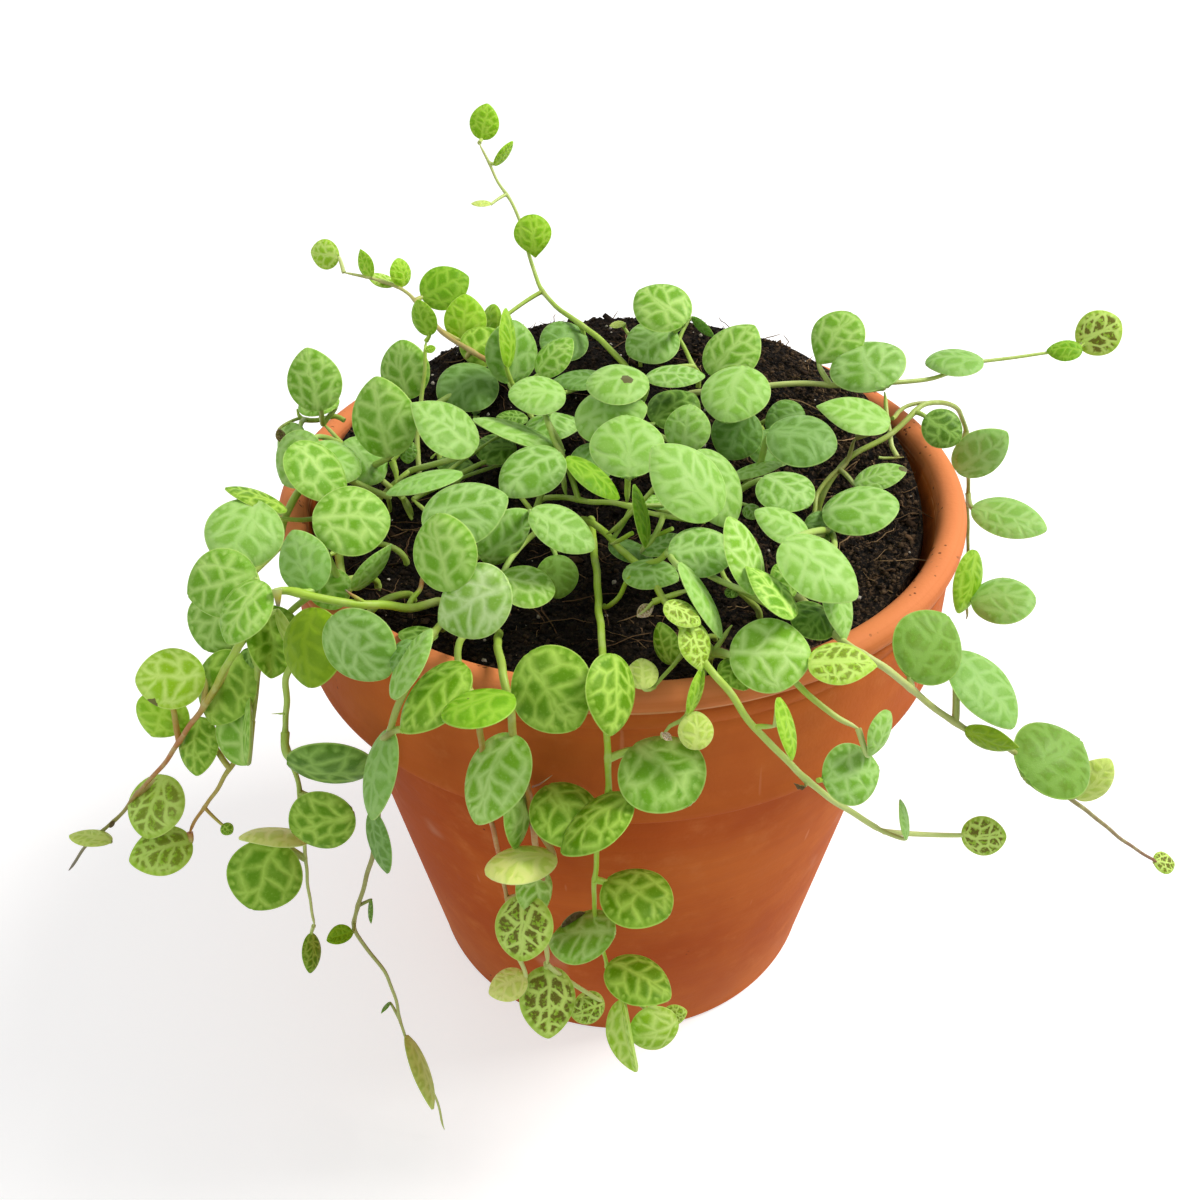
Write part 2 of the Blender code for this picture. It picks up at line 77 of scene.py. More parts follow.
class Wiring:
    """Adds nodes to one tree, a material's or a modifier's, and joins them up."""

    def __init__(self, tree):
        self.tree = tree

    def add(self, kind, inputs=None, **settings):
        node = self.tree.nodes.new(kind)
        for name, value in settings.items():
            setattr(node, name, value)
        for name, value in (inputs or {}).items():
            self.feed(node.inputs[name], value)
        return node

    def feed(self, socket, value):
        if isinstance(value, bpy.types.NodeSocket):
            self.tree.links.new(value, socket)
        else:
            socket.default_value = value

    def maths(self, operation, *values):
        return self.add("ShaderNodeMath", dict(enumerate(values)), operation=operation).outputs[0]

    def times(self, first, second):
        return self.maths("MULTIPLY", first, second)

    def vector(self, operation, *values):
        return self.add("ShaderNodeVectorMath", dict(enumerate(values)), operation=operation).outputs[0]

    def scaled(self, vector, factor):
        node = self.add("ShaderNodeVectorMath", {0: vector, "Scale": factor}, operation="SCALE")
        return node.outputs[0]

    def step(self, value, low, high):
        """0 up to low and 1 from high, smoothly; the other way round if low is over high."""
        ends = {"Value": value, "From Min": low, "From Max": high}
        return self.add("ShaderNodeMapRange", ends, interpolation_type="SMOOTHSTEP").outputs[0]

    def mix(self, share, first, second, blend="MIX"):
        """The first colour, with a share of the second laid over it."""
        node = self.add("ShaderNodeMix", data_type="RGBA", blend_type=blend)
        for socket, value in zip((0, 6, 7), (share, first, second)):
            self.feed(node.inputs[socket], value)
        return node.outputs[2]

    def laid(self, under, tone, mask, strength):
        """The colour under, with a tone over it where the mask is 1, at a strength of 0 to 1."""
        return self.mix(self.times(mask, strength), under, tone)

    def noise(self, vector, scale, detail=3.0, rough=0.5, seed=0.0, output="Fac"):
        inputs = {"Vector": vector, "Scale": scale, "Detail": detail, "Roughness": rough, "W": seed}
        return self.add("ShaderNodeTexNoise", inputs, noise_dimensions="4D").outputs[output]

    def clad(self, shape, finish):
        """The shape that a node gives, with one material all over it."""
        return self.add("GeometryNodeSetMaterial", {"Geometry": shape.outputs[0], "Material": finish})

    def bump(self, height, distance, under=None):
        """A normal from a height of 0 to 1 that stands for a distance in metres."""
        node = self.add("ShaderNodeBump", {"Height": height, "Distance": distance})
        if under is not None:
            self.feed(node.inputs["Normal"], under)
        return node.outputs["Normal"]


def shade(red, green, blue):
    """A colour given in steps of 0 to 255, as a shader reads it."""
    steps = (red / 255, green / 255, blue / 255)
    return (*[c / 12.92 if c < 0.04 else ((c + 0.055) / 1.055) ** 2.4 for c in steps], 1.0)


def new_material(name):
    """A material, the wiring of its tree, its shader, and its object's own coordinates."""
    made = bpy.data.materials.new(name)
    made.use_nodes = True
    wires = Wiring(made.node_tree)
    place = wires.add("ShaderNodeTexCoord").outputs["Object"]
    return made, wires, made.node_tree.nodes["Principled BSDF"].inputs, place


def new_tree(name, **inputs):
    """A Geometry Nodes tree with a geometry in and out, and the named inputs with their values."""
    kinds = {int: "Int", float: "Float"}
    kinds.update({bpy.types.Material: "Material", bpy.types.Collection: "Collection"})
    tree = bpy.data.node_groups.new(name, "GeometryNodeTree")
    tree.interface.new_socket("Geometry", in_out="INPUT", socket_type="NodeSocketGeometry")
    tree.interface.new_socket("Geometry", in_out="OUTPUT", socket_type="NodeSocketGeometry")
    for key, value in inputs.items():
        kind = "NodeSocket" + kinds[type(value)]
        socket = tree.interface.new_socket(key.replace("_", " "), in_out="INPUT", socket_type=kind)
        socket.default_value = value
    wires = Wiring(tree)
    return tree, wires, wires.add("NodeGroupInput").outputs, wires.add("NodeGroupOutput").inputs


def worked(name, mesh, tree, **inputs):
    """The plain mesh that a tree makes of a mesh, as a new object at the origin."""
    rough = bpy.data.objects.new(name + "_rough", mesh)
    bpy.context.scene.collection.objects.link(rough)
    modifier = rough.modifiers.new(tree.name, "NODES")
    modifier.node_group = tree
    for item in tree.interface.items_tree:
        key = item.name.replace(" ", "_")
        if key in inputs:
            modifier[item.identifier] = inputs[key]
    finished = rough.evaluated_get(bpy.context.evaluated_depsgraph_get())
    made = bpy.data.meshes.new_from_object(finished)
    bpy.data.objects.remove(rough)
    made.name = name
    piece = bpy.data.objects.new(name, made)
    bpy.context.scene.collection.objects.link(piece)
    return piece


def outlined(name, points, loops):
    """A mesh of points in millimetres, with the edges or faces that loops give."""
    mesh = bpy.data.meshes.new(name)
    edges = [loop for loop in loops if len(loop) == 2]
    faces = [loop for loop in loops if len(loop) > 2]
    mesh.from_pydata([tuple(MM * c for c in point) for point in points], edges, faces)
    return mesh


def arc(centre, radius, start, end, steps):
    """Points round part of a circle, from one angle to another in degrees."""
    angles = [math.radians(start + (end - start) * i / steps) for i in range(steps + 1)]
    return [(centre[0] + radius * math.cos(a), centre[1] + radius * math.sin(a)) for a in angles]


def between(start, end, steps):
    """Points along a straight run, without its two ends."""
    return [tuple(a + (b - a) * i / steps for a, b in zip(start, end)) for i in range(1, steps)]


POT_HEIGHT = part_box("terracotta_pot")[1].z / MM
RIM_RADIUS = 55.0
LIP_RADIUS = 2.2
COLLAR_RADIUS = 54.0
COLLAR_FOOT = 75.0  # the height of the collar's lower edge
BODY_TOP = 50.4  # the radius of the body where it meets the collar
FOOT_RADIUS = 38.0
WALL = 4.6
INNER_BEND = COLLAR_FOOT - 4.0  # the height where the inside starts to taper to the floor
POT_FLOOR = 7.0
FLOOR_RADIUS = 33.56
DRAIN_RADIUS = 6.0
EDGE = 0.6  # the small radius on the rims of the drain hole
FOOT_EDGE = 1.0  # the small radius round the foot
COLLAR_EDGE = 0.8  # the small radius on the collar's lower edge and in the corner under it
GROOVE = 92.9  # the height of the soft groove under the lip
LINES = (95.9, 96.7)  # the heights of the two turned lines under the lip
LINE_DEPTH = 0.5


def pot_section():
    """The wall's section as (radius, height), from the drain hole round the outside and back."""
    outside = arc((DRAIN_RADIUS + EDGE, EDGE), EDGE, 180, 270, 4)
    outside += between(outside[-1], (FOOT_RADIUS - 1.2 * FOOT_EDGE, 0), 12)
    outside += arc((FOOT_RADIUS - FOOT_EDGE, FOOT_EDGE), FOOT_EDGE, 270, 370, 6)
    outside += between(outside[-1], (BODY_TOP - 0.1, COLLAR_FOOT - 0.9), 30)
    outside += arc((BODY_TOP + 0.7, COLLAR_FOOT - COLLAR_EDGE), COLLAR_EDGE, 180, 90, 4)
    edge = (COLLAR_RADIUS - COLLAR_EDGE, COLLAR_FOOT + COLLAR_EDGE)
    outside += arc(edge, COLLAR_EDGE, 270, 360, 6)
    outside += [(COLLAR_RADIUS + 0.2, COLLAR_FOOT + 1.6), (COLLAR_RADIUS - 0.1, COLLAR_FOOT + 2.8)]
    over_collar = (COLLAR_RADIUS - 0.4, GROOVE - 0.4)
    outside += between(outside[-1], over_collar, 12)
    outside += [over_collar, (COLLAR_RADIUS - 0.65, GROOVE), (COLLAR_RADIUS - 0.3, GROOVE + 0.4)]
    for height in LINES:
        rim = (COLLAR_RADIUS, height - 0.3), (COLLAR_RADIUS + 0.1, height + 0.3)
        outside += [rim[0], (COLLAR_RADIUS - LINE_DEPTH, height), rim[1]]
    lip = (RIM_RADIUS - LIP_RADIUS, POT_HEIGHT - LIP_RADIUS)
    over = arc(lip, LIP_RADIUS, -20, 180, 20)
    inside = [(RIM_RADIUS - WALL, POT_HEIGHT - LIP_RADIUS - 3.0)]
    inside += between(inside[-1], (BODY_TOP - WALL, INNER_BEND), 8)
    inside += [(BODY_TOP - WALL, INNER_BEND)]
    corner = (FLOOR_RADIUS, POT_FLOOR + 1.5)
    inside += between(inside[-1], corner, 16) + [corner, (corner[0] - 1.5, POT_FLOOR)]
    inside += between(inside[-1], (DRAIN_RADIUS + EDGE, POT_FLOOR), 10)
    inside += arc((DRAIN_RADIUS + EDGE, POT_FLOOR - EDGE), EDGE, 90, 180, 4)
    return outside + over + inside


def turning_tree():
    """Turns a closed section, which lies in the XY plane, round Z, and lets it waver a little."""
    wheel = 50.0 * MM  # the radius of the circle that the section is swept along
    tree, wires, given, result = new_tree(
        "turned_clay", Sides=256, Waver=0.3 * MM, Seed=4.0, Clay=bpy.data.materials["fired_clay"]
    )
    place = wires.add("GeometryNodeInputPosition").outputs[0]
    near = wires.vector("SUBTRACT", place, (wheel, 0.0, 0.0))
    upright = wires.vector("MULTIPLY", near, (1.0, -1.0, 1.0))
    shifted = wires.add("GeometryNodeSetPosition", {"Geometry": given["Geometry"], "Position": upright})
    section = wires.add("GeometryNodeMeshToCurve", {"Mesh": shifted.outputs[0]})
    inputs = {"Resolution": given["Sides"], "Radius": wheel}
    circle = wires.add("GeometryNodeCurvePrimitiveCircle", inputs)
    turned = wires.add("GeometryNodeCurveToMesh", {0: circle.outputs[0], 1: section.outputs[0]})
    turned = wires.add("GeometryNodeFlipFaces", {"Mesh": turned.outputs[0]})
    wave = wires.noise(place, 16.0, 1.0, seed=given["Seed"])
    push = wires.maths("MULTIPLY", wires.maths("SUBTRACT", wave, 0.5), given["Waver"])
    outwards = wires.vector("MULTIPLY", place, (1.0 / wheel, 1.0 / wheel, 0.0))
    offset = wires.scaled(outwards, push)
    moved = wires.add("GeometryNodeSetPosition", {"Geometry": turned.outputs[0], "Offset": offset})
    smooth = wires.add("GeometryNodeSetShadeSmooth", {"Geometry": moved.outputs[0]})
    wires.feed(result["Geometry"], wires.clad(smooth, given["Clay"]).outputs[0])
    return tree


def fired_clay():
    """Bare red clay: mottled by the kiln, with turned lines, grit, pale bloom and pale scratches, and
    painted highlights on the lip and its turned lines.
    """
    made, wires, shader, place = new_material("fired_clay")
    x, y, height = wires.add("ShaderNodeSeparateXYZ", {0: place}).outputs
    radius = wires.maths("POWER", wires.maths("ADD", wires.times(x, x), wires.times(y, y)), 0.5)

    def by_height(start, end):
        """0 at one height and 1 at another, both in millimetres."""
        return wires.step(height, start * MM, end * MM)

    def by_radius(start, end):
        """0 at one radius and 1 at another, both in millimetres."""
        return wires.step(radius, start * MM, end * MM)

    # the colours that the kiln gave the clay
    kiln = wires.noise(place, 26.0, 4.0, 0.6, seed=1.0)
    mottle = wires.noise(place, 130.0, 5.0, 0.65, seed=2.0)
    colour = wires.mix(wires.step(kiln, 0.38, 0.66), shade(182, 80, 18), shade(204, 104, 36))
    colour = wires.laid(colour, shade(224, 134, 76), wires.step(mottle, 0.5, 0.75), 0.35)

    # fine lines round it from the wheel, and pale bloom where water dried
    rounds = {0: wires.times(radius, 300.0), 2: wires.times(height, 1000.0)}
    lines_place = wires.add("ShaderNodeCombineXYZ", rounds).outputs[0]
    lines = wires.noise(lines_place, 0.9, 3.0, 0.6, seed=3.0)
    colour = wires.laid(colour, shade(150, 66, 26), wires.step(lines, 0.62, 0.4), 0.07)
    bloom = wires.noise(place, 45.0, 3.0, 0.7, seed=5.0)
    colour = wires.laid(colour, shade(238, 196, 168), wires.step(bloom, 0.6, 0.74), 0.22)

    # a paler foot and collar, and a painted highlight on the lip above the two turned lines, streaked
    # along the turning
    colour = wires.laid(colour, shade(236, 164, 108), by_height(30.0, 0.0), 0.12)
    upper = by_height(COLLAR_FOOT - 0.5, COLLAR_FOOT + 1.5)
    colour = wires.laid(colour, shade(238, 146, 80), upper, 0.16)
    lip_highlight = wires.maths("MULTIPLY_ADD", wires.step(lines, 0.35, 0.6), 0.25, 0.35)
    lip = by_height(LINES[1] + 0.1, LINES[1] + 0.7)
    colour = wires.laid(colour, shade(240, 152, 100), lip, lip_highlight)
    # painted highlights: a thin pale line along the upper edge of each turned line, broken by the mottle
    for line in LINES:
        off = wires.maths("ABSOLUTE", wires.maths("SUBTRACT", height, (line + 0.4) * MM))
        bright = wires.times(wires.step(off, 0.22 * MM, 0.10 * MM), wires.step(mottle, 0.36, 0.52))
        colour = wires.laid(colour, shade(244, 180, 130), bright, 0.7)

    # a damp band inside, above the soil
    inner = RIM_RADIUS - WALL
    within = wires.times(by_radius(inner + 0.8, inner - 0.4), by_height(90.0, 96.0))
    wet = wires.step(wires.noise(place, 160.0, 3.0, 0.6, seed=7.0), 0.4, 0.62)
    colour = wires.laid(colour, shade(92, 46, 28), wires.times(within, wet), 0.7)

    # specks of soil, most of them on the lip, and grime on the lip's inner side
    cells = wires.add("ShaderNodeTexVoronoi", {"Vector": place, "Scale": 700.0}, feature="F1")
    crowd = wires.noise(place, 90.0, 2.0, 0.5, seed=9.0)
    crowd = wires.maths("MULTIPLY_ADD", by_height(95.0, 98.0), 0.09, crowd)
    specks = wires.times(wires.step(cells.outputs["Distance"], 0.2, 0.12), wires.step(crowd, 0.66, 0.72))
    colour = wires.laid(colour, shade(58, 34, 24), specks, 0.9)
    inner_lip = wires.times(by_radius(RIM_RADIUS - 1.5, RIM_RADIUS - 3.0), by_height(97.0, 98.0))
    grime = wires.step(wires.noise(place, 420.0, 3.0, 0.7, seed=8.0), 0.62, 0.68)
    colour = wires.laid(colour, shade(60, 32, 20), wires.times(inner_lip, grime), 0.85)

    # pale upright scratches
    scratch_place = wires.vector("MULTIPLY", place, (900.0, 900.0, 60.0))
    scratches = wires.step(wires.noise(scratch_place, 0.6, 1.0, 0.5, seed=11.0), 0.74, 0.8)
    colour = wires.laid(colour, shade(244, 178, 140), scratches, 0.25)

    wires.feed(shader["Base Color"], colour)
    wires.feed(shader["Roughness"], wires.maths("MULTIPLY_ADD", mottle, 0.22, 0.55))
    shader["Specular IOR Level"].default_value = 0.1
    grit = wires.noise(place, 1500.0, 2.0, 0.6, seed=13.0)
    relief = wires.bump(lines, 0.04 * MM)
    relief = wires.bump(mottle, 0.10 * MM, relief)
    wires.feed(shader["Normal"], wires.bump(grit, 0.05 * MM, relief))
    return made


fired_clay()
section = pot_section()
ring = [(i, (i + 1) % len(section)) for i in range(len(section))]
turning = turning_tree()
pot_lines = outlined("pot_section", [(radius, height, 0.0) for radius, height in section], ring)
pot = worked("terracotta_flowerpot", pot_lines, turning)
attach(pot, "root")
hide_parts("terracotta_pot")


# ---------------------------------------------------------------- the potting soil
# One damp root ball of peaty mix that fills the pot, heaped up at the back. On its top lie
# loose crumbs, flakes of bark, grains of perlite and thin dry roots.

SOIL_FRONT = 95.5  # the height of its top at the front
SOIL_RISE = 12.5  # how much higher it is heaped at the back
SOIL_SIDES = 288
SOIL_RINGS = 150
SOIL_TOP = RIM_RADIUS - WALL - 1.4  # the radius of the soil's top
CLEAR = 0.8  # between the root ball and the pot's wall


def eased(t):
    """0 below 0, 1 above 1, and a smooth step between."""
    t = min(max(t, 0.0), 1.0)
    return t * t * (3.0 - 2.0 * t)


def soil_height(x, y):
    """The top of the soil: low at the front, heaped up at the back, and lower by the rim."""
    back = eased((y + 15.0) / 55.0)
    edge = eased((math.hypot(x, y) - 40.0) / 12.0)
    lumps = 0.5 * math.sin(0.31 * x + 1.0) * math.cos(0.27 * y)
    return SOIL_FRONT + SOIL_RISE * back * (1.0 - 0.45 * edge) + lumps


def root_ball():
    """The soil's plain shape, with how loose each point is, from 0 at the wall to 1 on top."""
    rings = [(FOOT_RADIUS - WALL - 2.0, POT_FLOOR + 0.4), (FOOT_RADIUS - WALL, POT_FLOOR + 2.0)]
    rings += [(BODY_TOP - WALL - CLEAR, INNER_BEND), (RIM_RADIUS - WALL - CLEAR - 1.0, 92.0)]
    points = []
    loose = []
    for radius, level in rings:
        for i in range(SOIL_SIDES):
            angle = math.tau * i / SOIL_SIDES
            points.append((radius * math.cos(angle), radius * math.sin(angle), level))
            loose.append(0.0)
    for step in range(SOIL_RINGS):
        radius = SOIL_TOP * (1.0 - step / SOIL_RINGS)
        for i in range(SOIL_SIDES):
            angle = math.tau * (i + 0.5 * (step % 2)) / SOIL_SIDES
            x, y = radius * math.cos(angle), radius * math.sin(angle)
            points.append((x, y, soil_height(x, y) - (1.5 if step == 0 else 0.0)))
            loose.append(min(step / 4.0, 1.0))
    faces = []
    for row in range(len(rings) + SOIL_RINGS - 1):
        for i in range(SOIL_SIDES):
            j = (i + 1) % SOIL_SIDES
            first, second = row * SOIL_SIDES, (row + 1) * SOIL_SIDES
            faces.append((first + i, first + j, second + j, second + i))
    foot, crown = len(points), len(points) + 1
    points += [(0.0, 0.0, POT_FLOOR + 0.4), (0.0, 0.0, soil_height(0.0, 0.0))]
    loose += [0.0, 1.0]
    last = (len(rings) + SOIL_RINGS - 1) * SOIL_SIDES
    for i in range(SOIL_SIDES):
        j = (i + 1) % SOIL_SIDES
        faces.append((foot, j, i))
        faces.append((crown, last + i, last + j))
    mesh = outlined("root_ball", points, faces)
    mesh.attributes.new("loose", "FLOAT", "POINT").data.foreach_set("value", loose)
    return mesh


def crumbling_tree():
    """Heaves the loose top of the soil into lumps and crumbs."""
    tree, wires, given, result = new_tree(
        "crumbled_soil", Lumps=2.8 * MM, Crumbs=2.0 * MM, Seed=2.0, Soil=bpy.data.materials["damp_peat"]
    )
    place = wires.add("GeometryNodeInputPosition").outputs[0]
    loose = wires.add("GeometryNodeInputNamedAttribute", {"Name": "loose"}, data_type="FLOAT").outputs[0]
    lumps = wires.maths("SUBTRACT", wires.noise(place, 120.0, 2.0, 0.5, seed=given["Seed"]), 0.5)
    cells = wires.add("ShaderNodeTexVoronoi", {"Vector": place, "Scale": 520.0}, feature="F1")
    fine = wires.maths("SUBTRACT", wires.noise(place, 620.0, 4.0, 0.7, seed=given["Seed"]), 0.5)
    crumbs = wires.maths("SUBTRACT", fine, wires.times(cells.outputs["Distance"], 0.35))
    rise = wires.times(lumps, given["Lumps"])
    rise = wires.maths("ADD", rise, wires.times(crumbs, given["Crumbs"]))
    up = wires.add("ShaderNodeCombineXYZ", {2: wires.times(rise, loose)}).outputs[0]
    moved = wires.add("GeometryNodeSetPosition", {"Geometry": given["Geometry"], "Offset": up})
    wires.feed(result["Geometry"], wires.clad(moved, given["Soil"]).outputs[0])
    return tree


def drier_side(wires, place):
    """How dry the mix is: 1 on the right, where it has dried out, and 0.3 on the damp left."""
    across = wires.add("ShaderNodeSeparateXYZ", {0: place}).outputs[0]
    return wires.maths("MULTIPLY_ADD", wires.step(across, 0.0, 40.0 * MM), 0.7, 0.3)


def damp_peat():
    """Nearly black peat, with brown fibre in it and a dull wet shine in places."""
    made, wires, shader, place = new_material("damp_peat")
    dry = drier_side(wires, place)
    coarse = wires.noise(place, 240.0, 4.0, 0.65, seed=1.0)
    fine = wires.noise(place, 1400.0, 4.0, 0.7, seed=2.0)
    colour = wires.mix(wires.step(coarse, 0.42, 0.7), shade(8, 6, 5), shade(30, 23, 17))
    flecks = wires.times(wires.step(fine, 0.49, 0.62), dry)
    colour = wires.laid(colour, shade(98, 78, 58), flecks, 0.75)
    pale = wires.step(wires.noise(place, 900.0, 2.0, 0.5, seed=4.0), 0.72, 0.78)
    colour = wires.laid(colour, shade(150, 136, 112), pale, 0.6)
    wires.feed(shader["Base Color"], colour)
    wires.feed(shader["Roughness"], wires.maths("MULTIPLY_ADD", coarse, 0.5, 0.5))
    shader["Specular IOR Level"].default_value = 0.08
    relief = wires.bump(coarse, 0.6 * MM)
    wires.feed(shader["Normal"], wires.bump(fine, 0.6 * MM, relief))
    return made


damp_peat()
soil = worked("potting_soil_mound", root_ball(), crumbling_tree())
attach(soil, "root")
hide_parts("potting_soil")


def bit_material(name, dark, pale, roughness):
    """A loose bit's finish, between a dark and a pale colour by the bit's own tint."""
    made, wires, shader, place = new_material(name)
    tint = wires.add("ShaderNodeAttribute", attribute_name="tint").outputs["Fac"]
    grain = wires.noise(place, 1100.0, 3.0, 0.65, seed=3.0)
    share = wires.maths("MULTIPLY_ADD", grain, 0.9, wires.maths("SUBTRACT", tint, 0.40))
    share = wires.maths("POWER", wires.maths("MAXIMUM", share, 0.0), 2.2)
    wires.feed(shader["Base Color"], wires.laid(dark, pale, share, drier_side(wires, place)))
    shader["Roughness"].default_value = roughness
    shader["Specular IOR Level"].default_value = 0.08
    wires.feed(shader["Normal"], wires.bump(grain, 0.2 * MM))
    return made


def lump_form(name, seed, lengths):
    """A rough low lump, about 1 mm across, stretched to three lengths."""
    bm = bmesh.new()
    bmesh.ops.create_icosphere(bm, subdivisions=1, radius=0.5 * MM)
    draw = random.Random(seed)
    for vert in bm.verts:
        vert.co = Vector(c * length * draw.uniform(0.7, 1.3) for c, length in zip(vert.co, lengths))
    return form_object(name, bm)


STRAND_BENDS = 6


def strand_form(name, seed, length, radius):
    """A thin crooked strand that lies along X, three-sided and closed at both ends."""
    bm = bmesh.new()
    draw = random.Random(seed)
    rings = []
    side, lift = 0.0, 0.0
    for i in range(STRAND_BENDS + 1):
        if i:
            side += draw.uniform(-0.6, 0.6)
            lift += draw.uniform(-0.3, 0.35)
        centre = Vector((length * (i / STRAND_BENDS - 0.5), side, lift)) * MM
        size = radius * MM * (0.4 if i in (0, STRAND_BENDS) else 1.0)
        corners = [math.tau * k / 3 for k in range(3)]
        ring = [centre + size * Vector((0.0, math.cos(a), math.sin(a))) for a in corners]
        rings.append([bm.verts.new(point) for point in ring])
    for first, second in zip(rings, rings[1:]):
        for k in range(3):
            bm.faces.new((first[k], second[k], second[(k + 1) % 3], first[(k + 1) % 3]))
    bm.faces.new(rings[0])
    bm.faces.new(rings[-1][::-1])
    return form_object(name, bm)


def form_object(name, bm):
    """A form that is only ever scattered, kept out of the scene."""
    bmesh.ops.recalc_face_normals(bm, faces=bm.faces)
    mesh = bpy.data.meshes.new(name)
    bm.to_mesh(mesh)
    bm.free()
    mesh.shade_smooth()
    return bpy.data.objects.new(name, mesh)


def form_collection(name, forms):
    made = bpy.data.collections.new(name)
    for form in forms:
        made.objects.link(form)
    return made


def put_away(collection):
    """Removes the forms once everything has been made from them."""
    for form in list(collection.objects):
        bpy.data.objects.remove(form)
    bpy.data.collections.remove(collection)


def scattering_tree():
    """Strews forms over the loose top of the soil, each turned, sized and tinted at random."""
    tree, wires, given, result = new_tree(
        "strewn_bits",
        Forms=bpy.data.collections["crumb_forms"],
        Finish=bpy.data.materials["damp_peat"],
        Density=1000.0,
        Smallest=0.5,
        Largest=1.5,
        Tilt=0.7,
        Seed=1,
        Tint_Seed=99,
    )
    well_loose = 0.9  # how loose the soil is where bits lie
    many = 40  # more than there are forms, because a form's number wraps round
    loose = wires.add("GeometryNodeInputNamedAttribute", {"Name": "loose"}, data_type="FLOAT").outputs[0]
    inputs = {"Mesh": given["Geometry"], "Density": given["Density"], "Seed": given["Seed"]}
    spread = wires.add("GeometryNodeDistributePointsOnFaces", inputs)
    wires.feed(spread.inputs["Selection"], wires.maths("GREATER_THAN", loose, well_loose))
    seed = {"Seed": given["Seed"]}
    turn = wires.add("FunctionNodeRandomValue", seed, data_type="FLOAT_VECTOR")
    farthest = wires.add("ShaderNodeCombineXYZ", {0: given["Tilt"], 1: given["Tilt"], 2: math.tau})
    wires.feed(turn.inputs["Max"], farthest.outputs[0])
    size = wires.add("FunctionNodeRandomValue", {2: given["Smallest"], 3: given["Largest"], **seed})
    pick = wires.add("FunctionNodeRandomValue", {5: many, **seed}, data_type="INT")
    inputs = {"Collection": given["Forms"], "Separate Children": True, "Reset Children": True}
    forms = wires.add("GeometryNodeCollectionInfo", inputs)
    put = wires.add("GeometryNodeInstanceOnPoints", {"Points": spread.outputs[0], "Pick Instance": True})
    wires.feed(put.inputs["Instance"], forms.outputs[0])
    wires.feed(put.inputs["Instance Index"], pick.outputs[2])
    wires.feed(put.inputs["Rotation"], turn.outputs[0])
    wires.feed(put.inputs["Scale"], size.outputs[1])
    tinted = {"Geometry": put.outputs[0], "Name": "tint"}
    tinted = wires.add("GeometryNodeStoreNamedAttribute", tinted, domain="INSTANCE")
    tint = wires.add("FunctionNodeRandomValue", {"Seed": given["Tint Seed"]})
    wires.feed(tinted.inputs["Value"], tint.outputs[1])
    real = wires.add("GeometryNodeRealizeInstances", {"Geometry": tinted.outputs[0]})
    wires.feed(result["Geometry"], wires.clad(real, given["Finish"]).outputs[0])
    return tree


def strew(name, forms, dark, pale, roughness, density, smallest, largest, seed, tilt=0.7):
    """All the bits of one kind as one piece, with how many lie on a square metre and their sizes."""
    kept = form_collection("crumb_forms", forms)
    bits = worked(
        name,
        soil.data.copy(),
        scattering_tree(),
        Forms=kept,
        Finish=bit_material(name + "_finish", dark, pale, roughness),
        Density=density,
        Smallest=smallest,
        Largest=largest,
        Tilt=tilt,
        Seed=seed,
    )
    put_away(kept)
    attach(bits, "root")


strew(
    "soil_crumbs",
    [lump_form(f"crumb_{i}", i, (1.2, 0.9, 0.8)) for i in range(5)],
    dark=shade(8, 7, 6),
    pale=shade(96, 77, 58),
    roughness=0.9,
    density=1100000.0,
    smallest=0.25,
    largest=0.95,
    seed=3,
)
strew(
    "bark_flakes",
    [lump_form(f"flake_{i}", 10 + i, (3.2, 1.5, 0.5)) for i in range(4)],
    dark=shade(26, 18, 13),
    pale=shade(112, 86, 62),
    roughness=0.8,
    density=18000.0,
    smallest=0.4,
    largest=1.1,
    seed=4,
)
strew(
    "perlite_grains",
    [lump_form(f"grain_{i}", 20 + i, (0.9, 0.8, 0.7)) for i in range(4)],
    dark=shade(160, 152, 138),
    pale=shade(232, 226, 212),
    roughness=0.8,
    density=16000.0,
    smallest=0.3,
    largest=1.1,
    seed=5,
)
strew(
    "dry_roots",
    [strand_form(f"root_{i}", 30 + i, 5.0 + i, 0.09) for i in range(5)],
    dark=shade(96, 72, 50),
    pale=shade(188, 156, 114),
    roughness=0.7,
    density=46000.0,
    smallest=0.5,
    largest=1.4,
    seed=6,
    tilt=0.1,
)


# ---------------------------------------------------------------- the vines at the back
# Thin fleshy stems that stand or trail behind the crown, each grown in one piece with its
# leaves: a domed, fleshy blade on a short stalk at each joint. They are young and lime green.

# A leaf: the middle of its blade and its width in millimetres, the heading and the rise of the
# way its face looks and how far it is turned on its stalk in degrees, its look and its form,
# and a scar's place and size over the width.
Leaf = namedtuple("Leaf", "x y z width heading rise look form turn scar", defaults=("round", 0, None))
Form = namedtuple("Form", "length lean base tip dome fold curl wave", defaults=(0.0, 0.0, 0.0))
FORMS = {  # length over width, where it is widest, how blunt its ends are, its dome, its bends
    "round": Form(1.04, 0.94, 0.46, 0.56, 0.13),
    "wide": Form(0.96, 1.0, 0.44, 0.52, 0.12),
    "egg": Form(1.16, 0.86, 0.48, 0.64, 0.13),
    "long": Form(1.38, 0.92, 0.52, 0.62, 0.12, 0.06),
    "pointed": Form(1.30, 0.82, 0.50, 0.86, 0.11, 0.05, 0.10),
    "folded": Form(1.20, 0.90, 0.50, 0.66, 0.06, 0.42, 0.08),
    "spoon": Form(1.10, 1.22, 0.74, 0.44, 0.13),
    "withered": Form(1.60, 0.90, 0.70, 1.10, 0.05, 0.80, 0.90, 0.10),
}
LEAF_THICKNESS = 0.11  # in the middle, over the width
PLUMP_RIM = 0.10  # how far in from its margin a blade is as thick as it gets, over the width
BLADE_ROWS = 28
BLADE_SIDES = 40


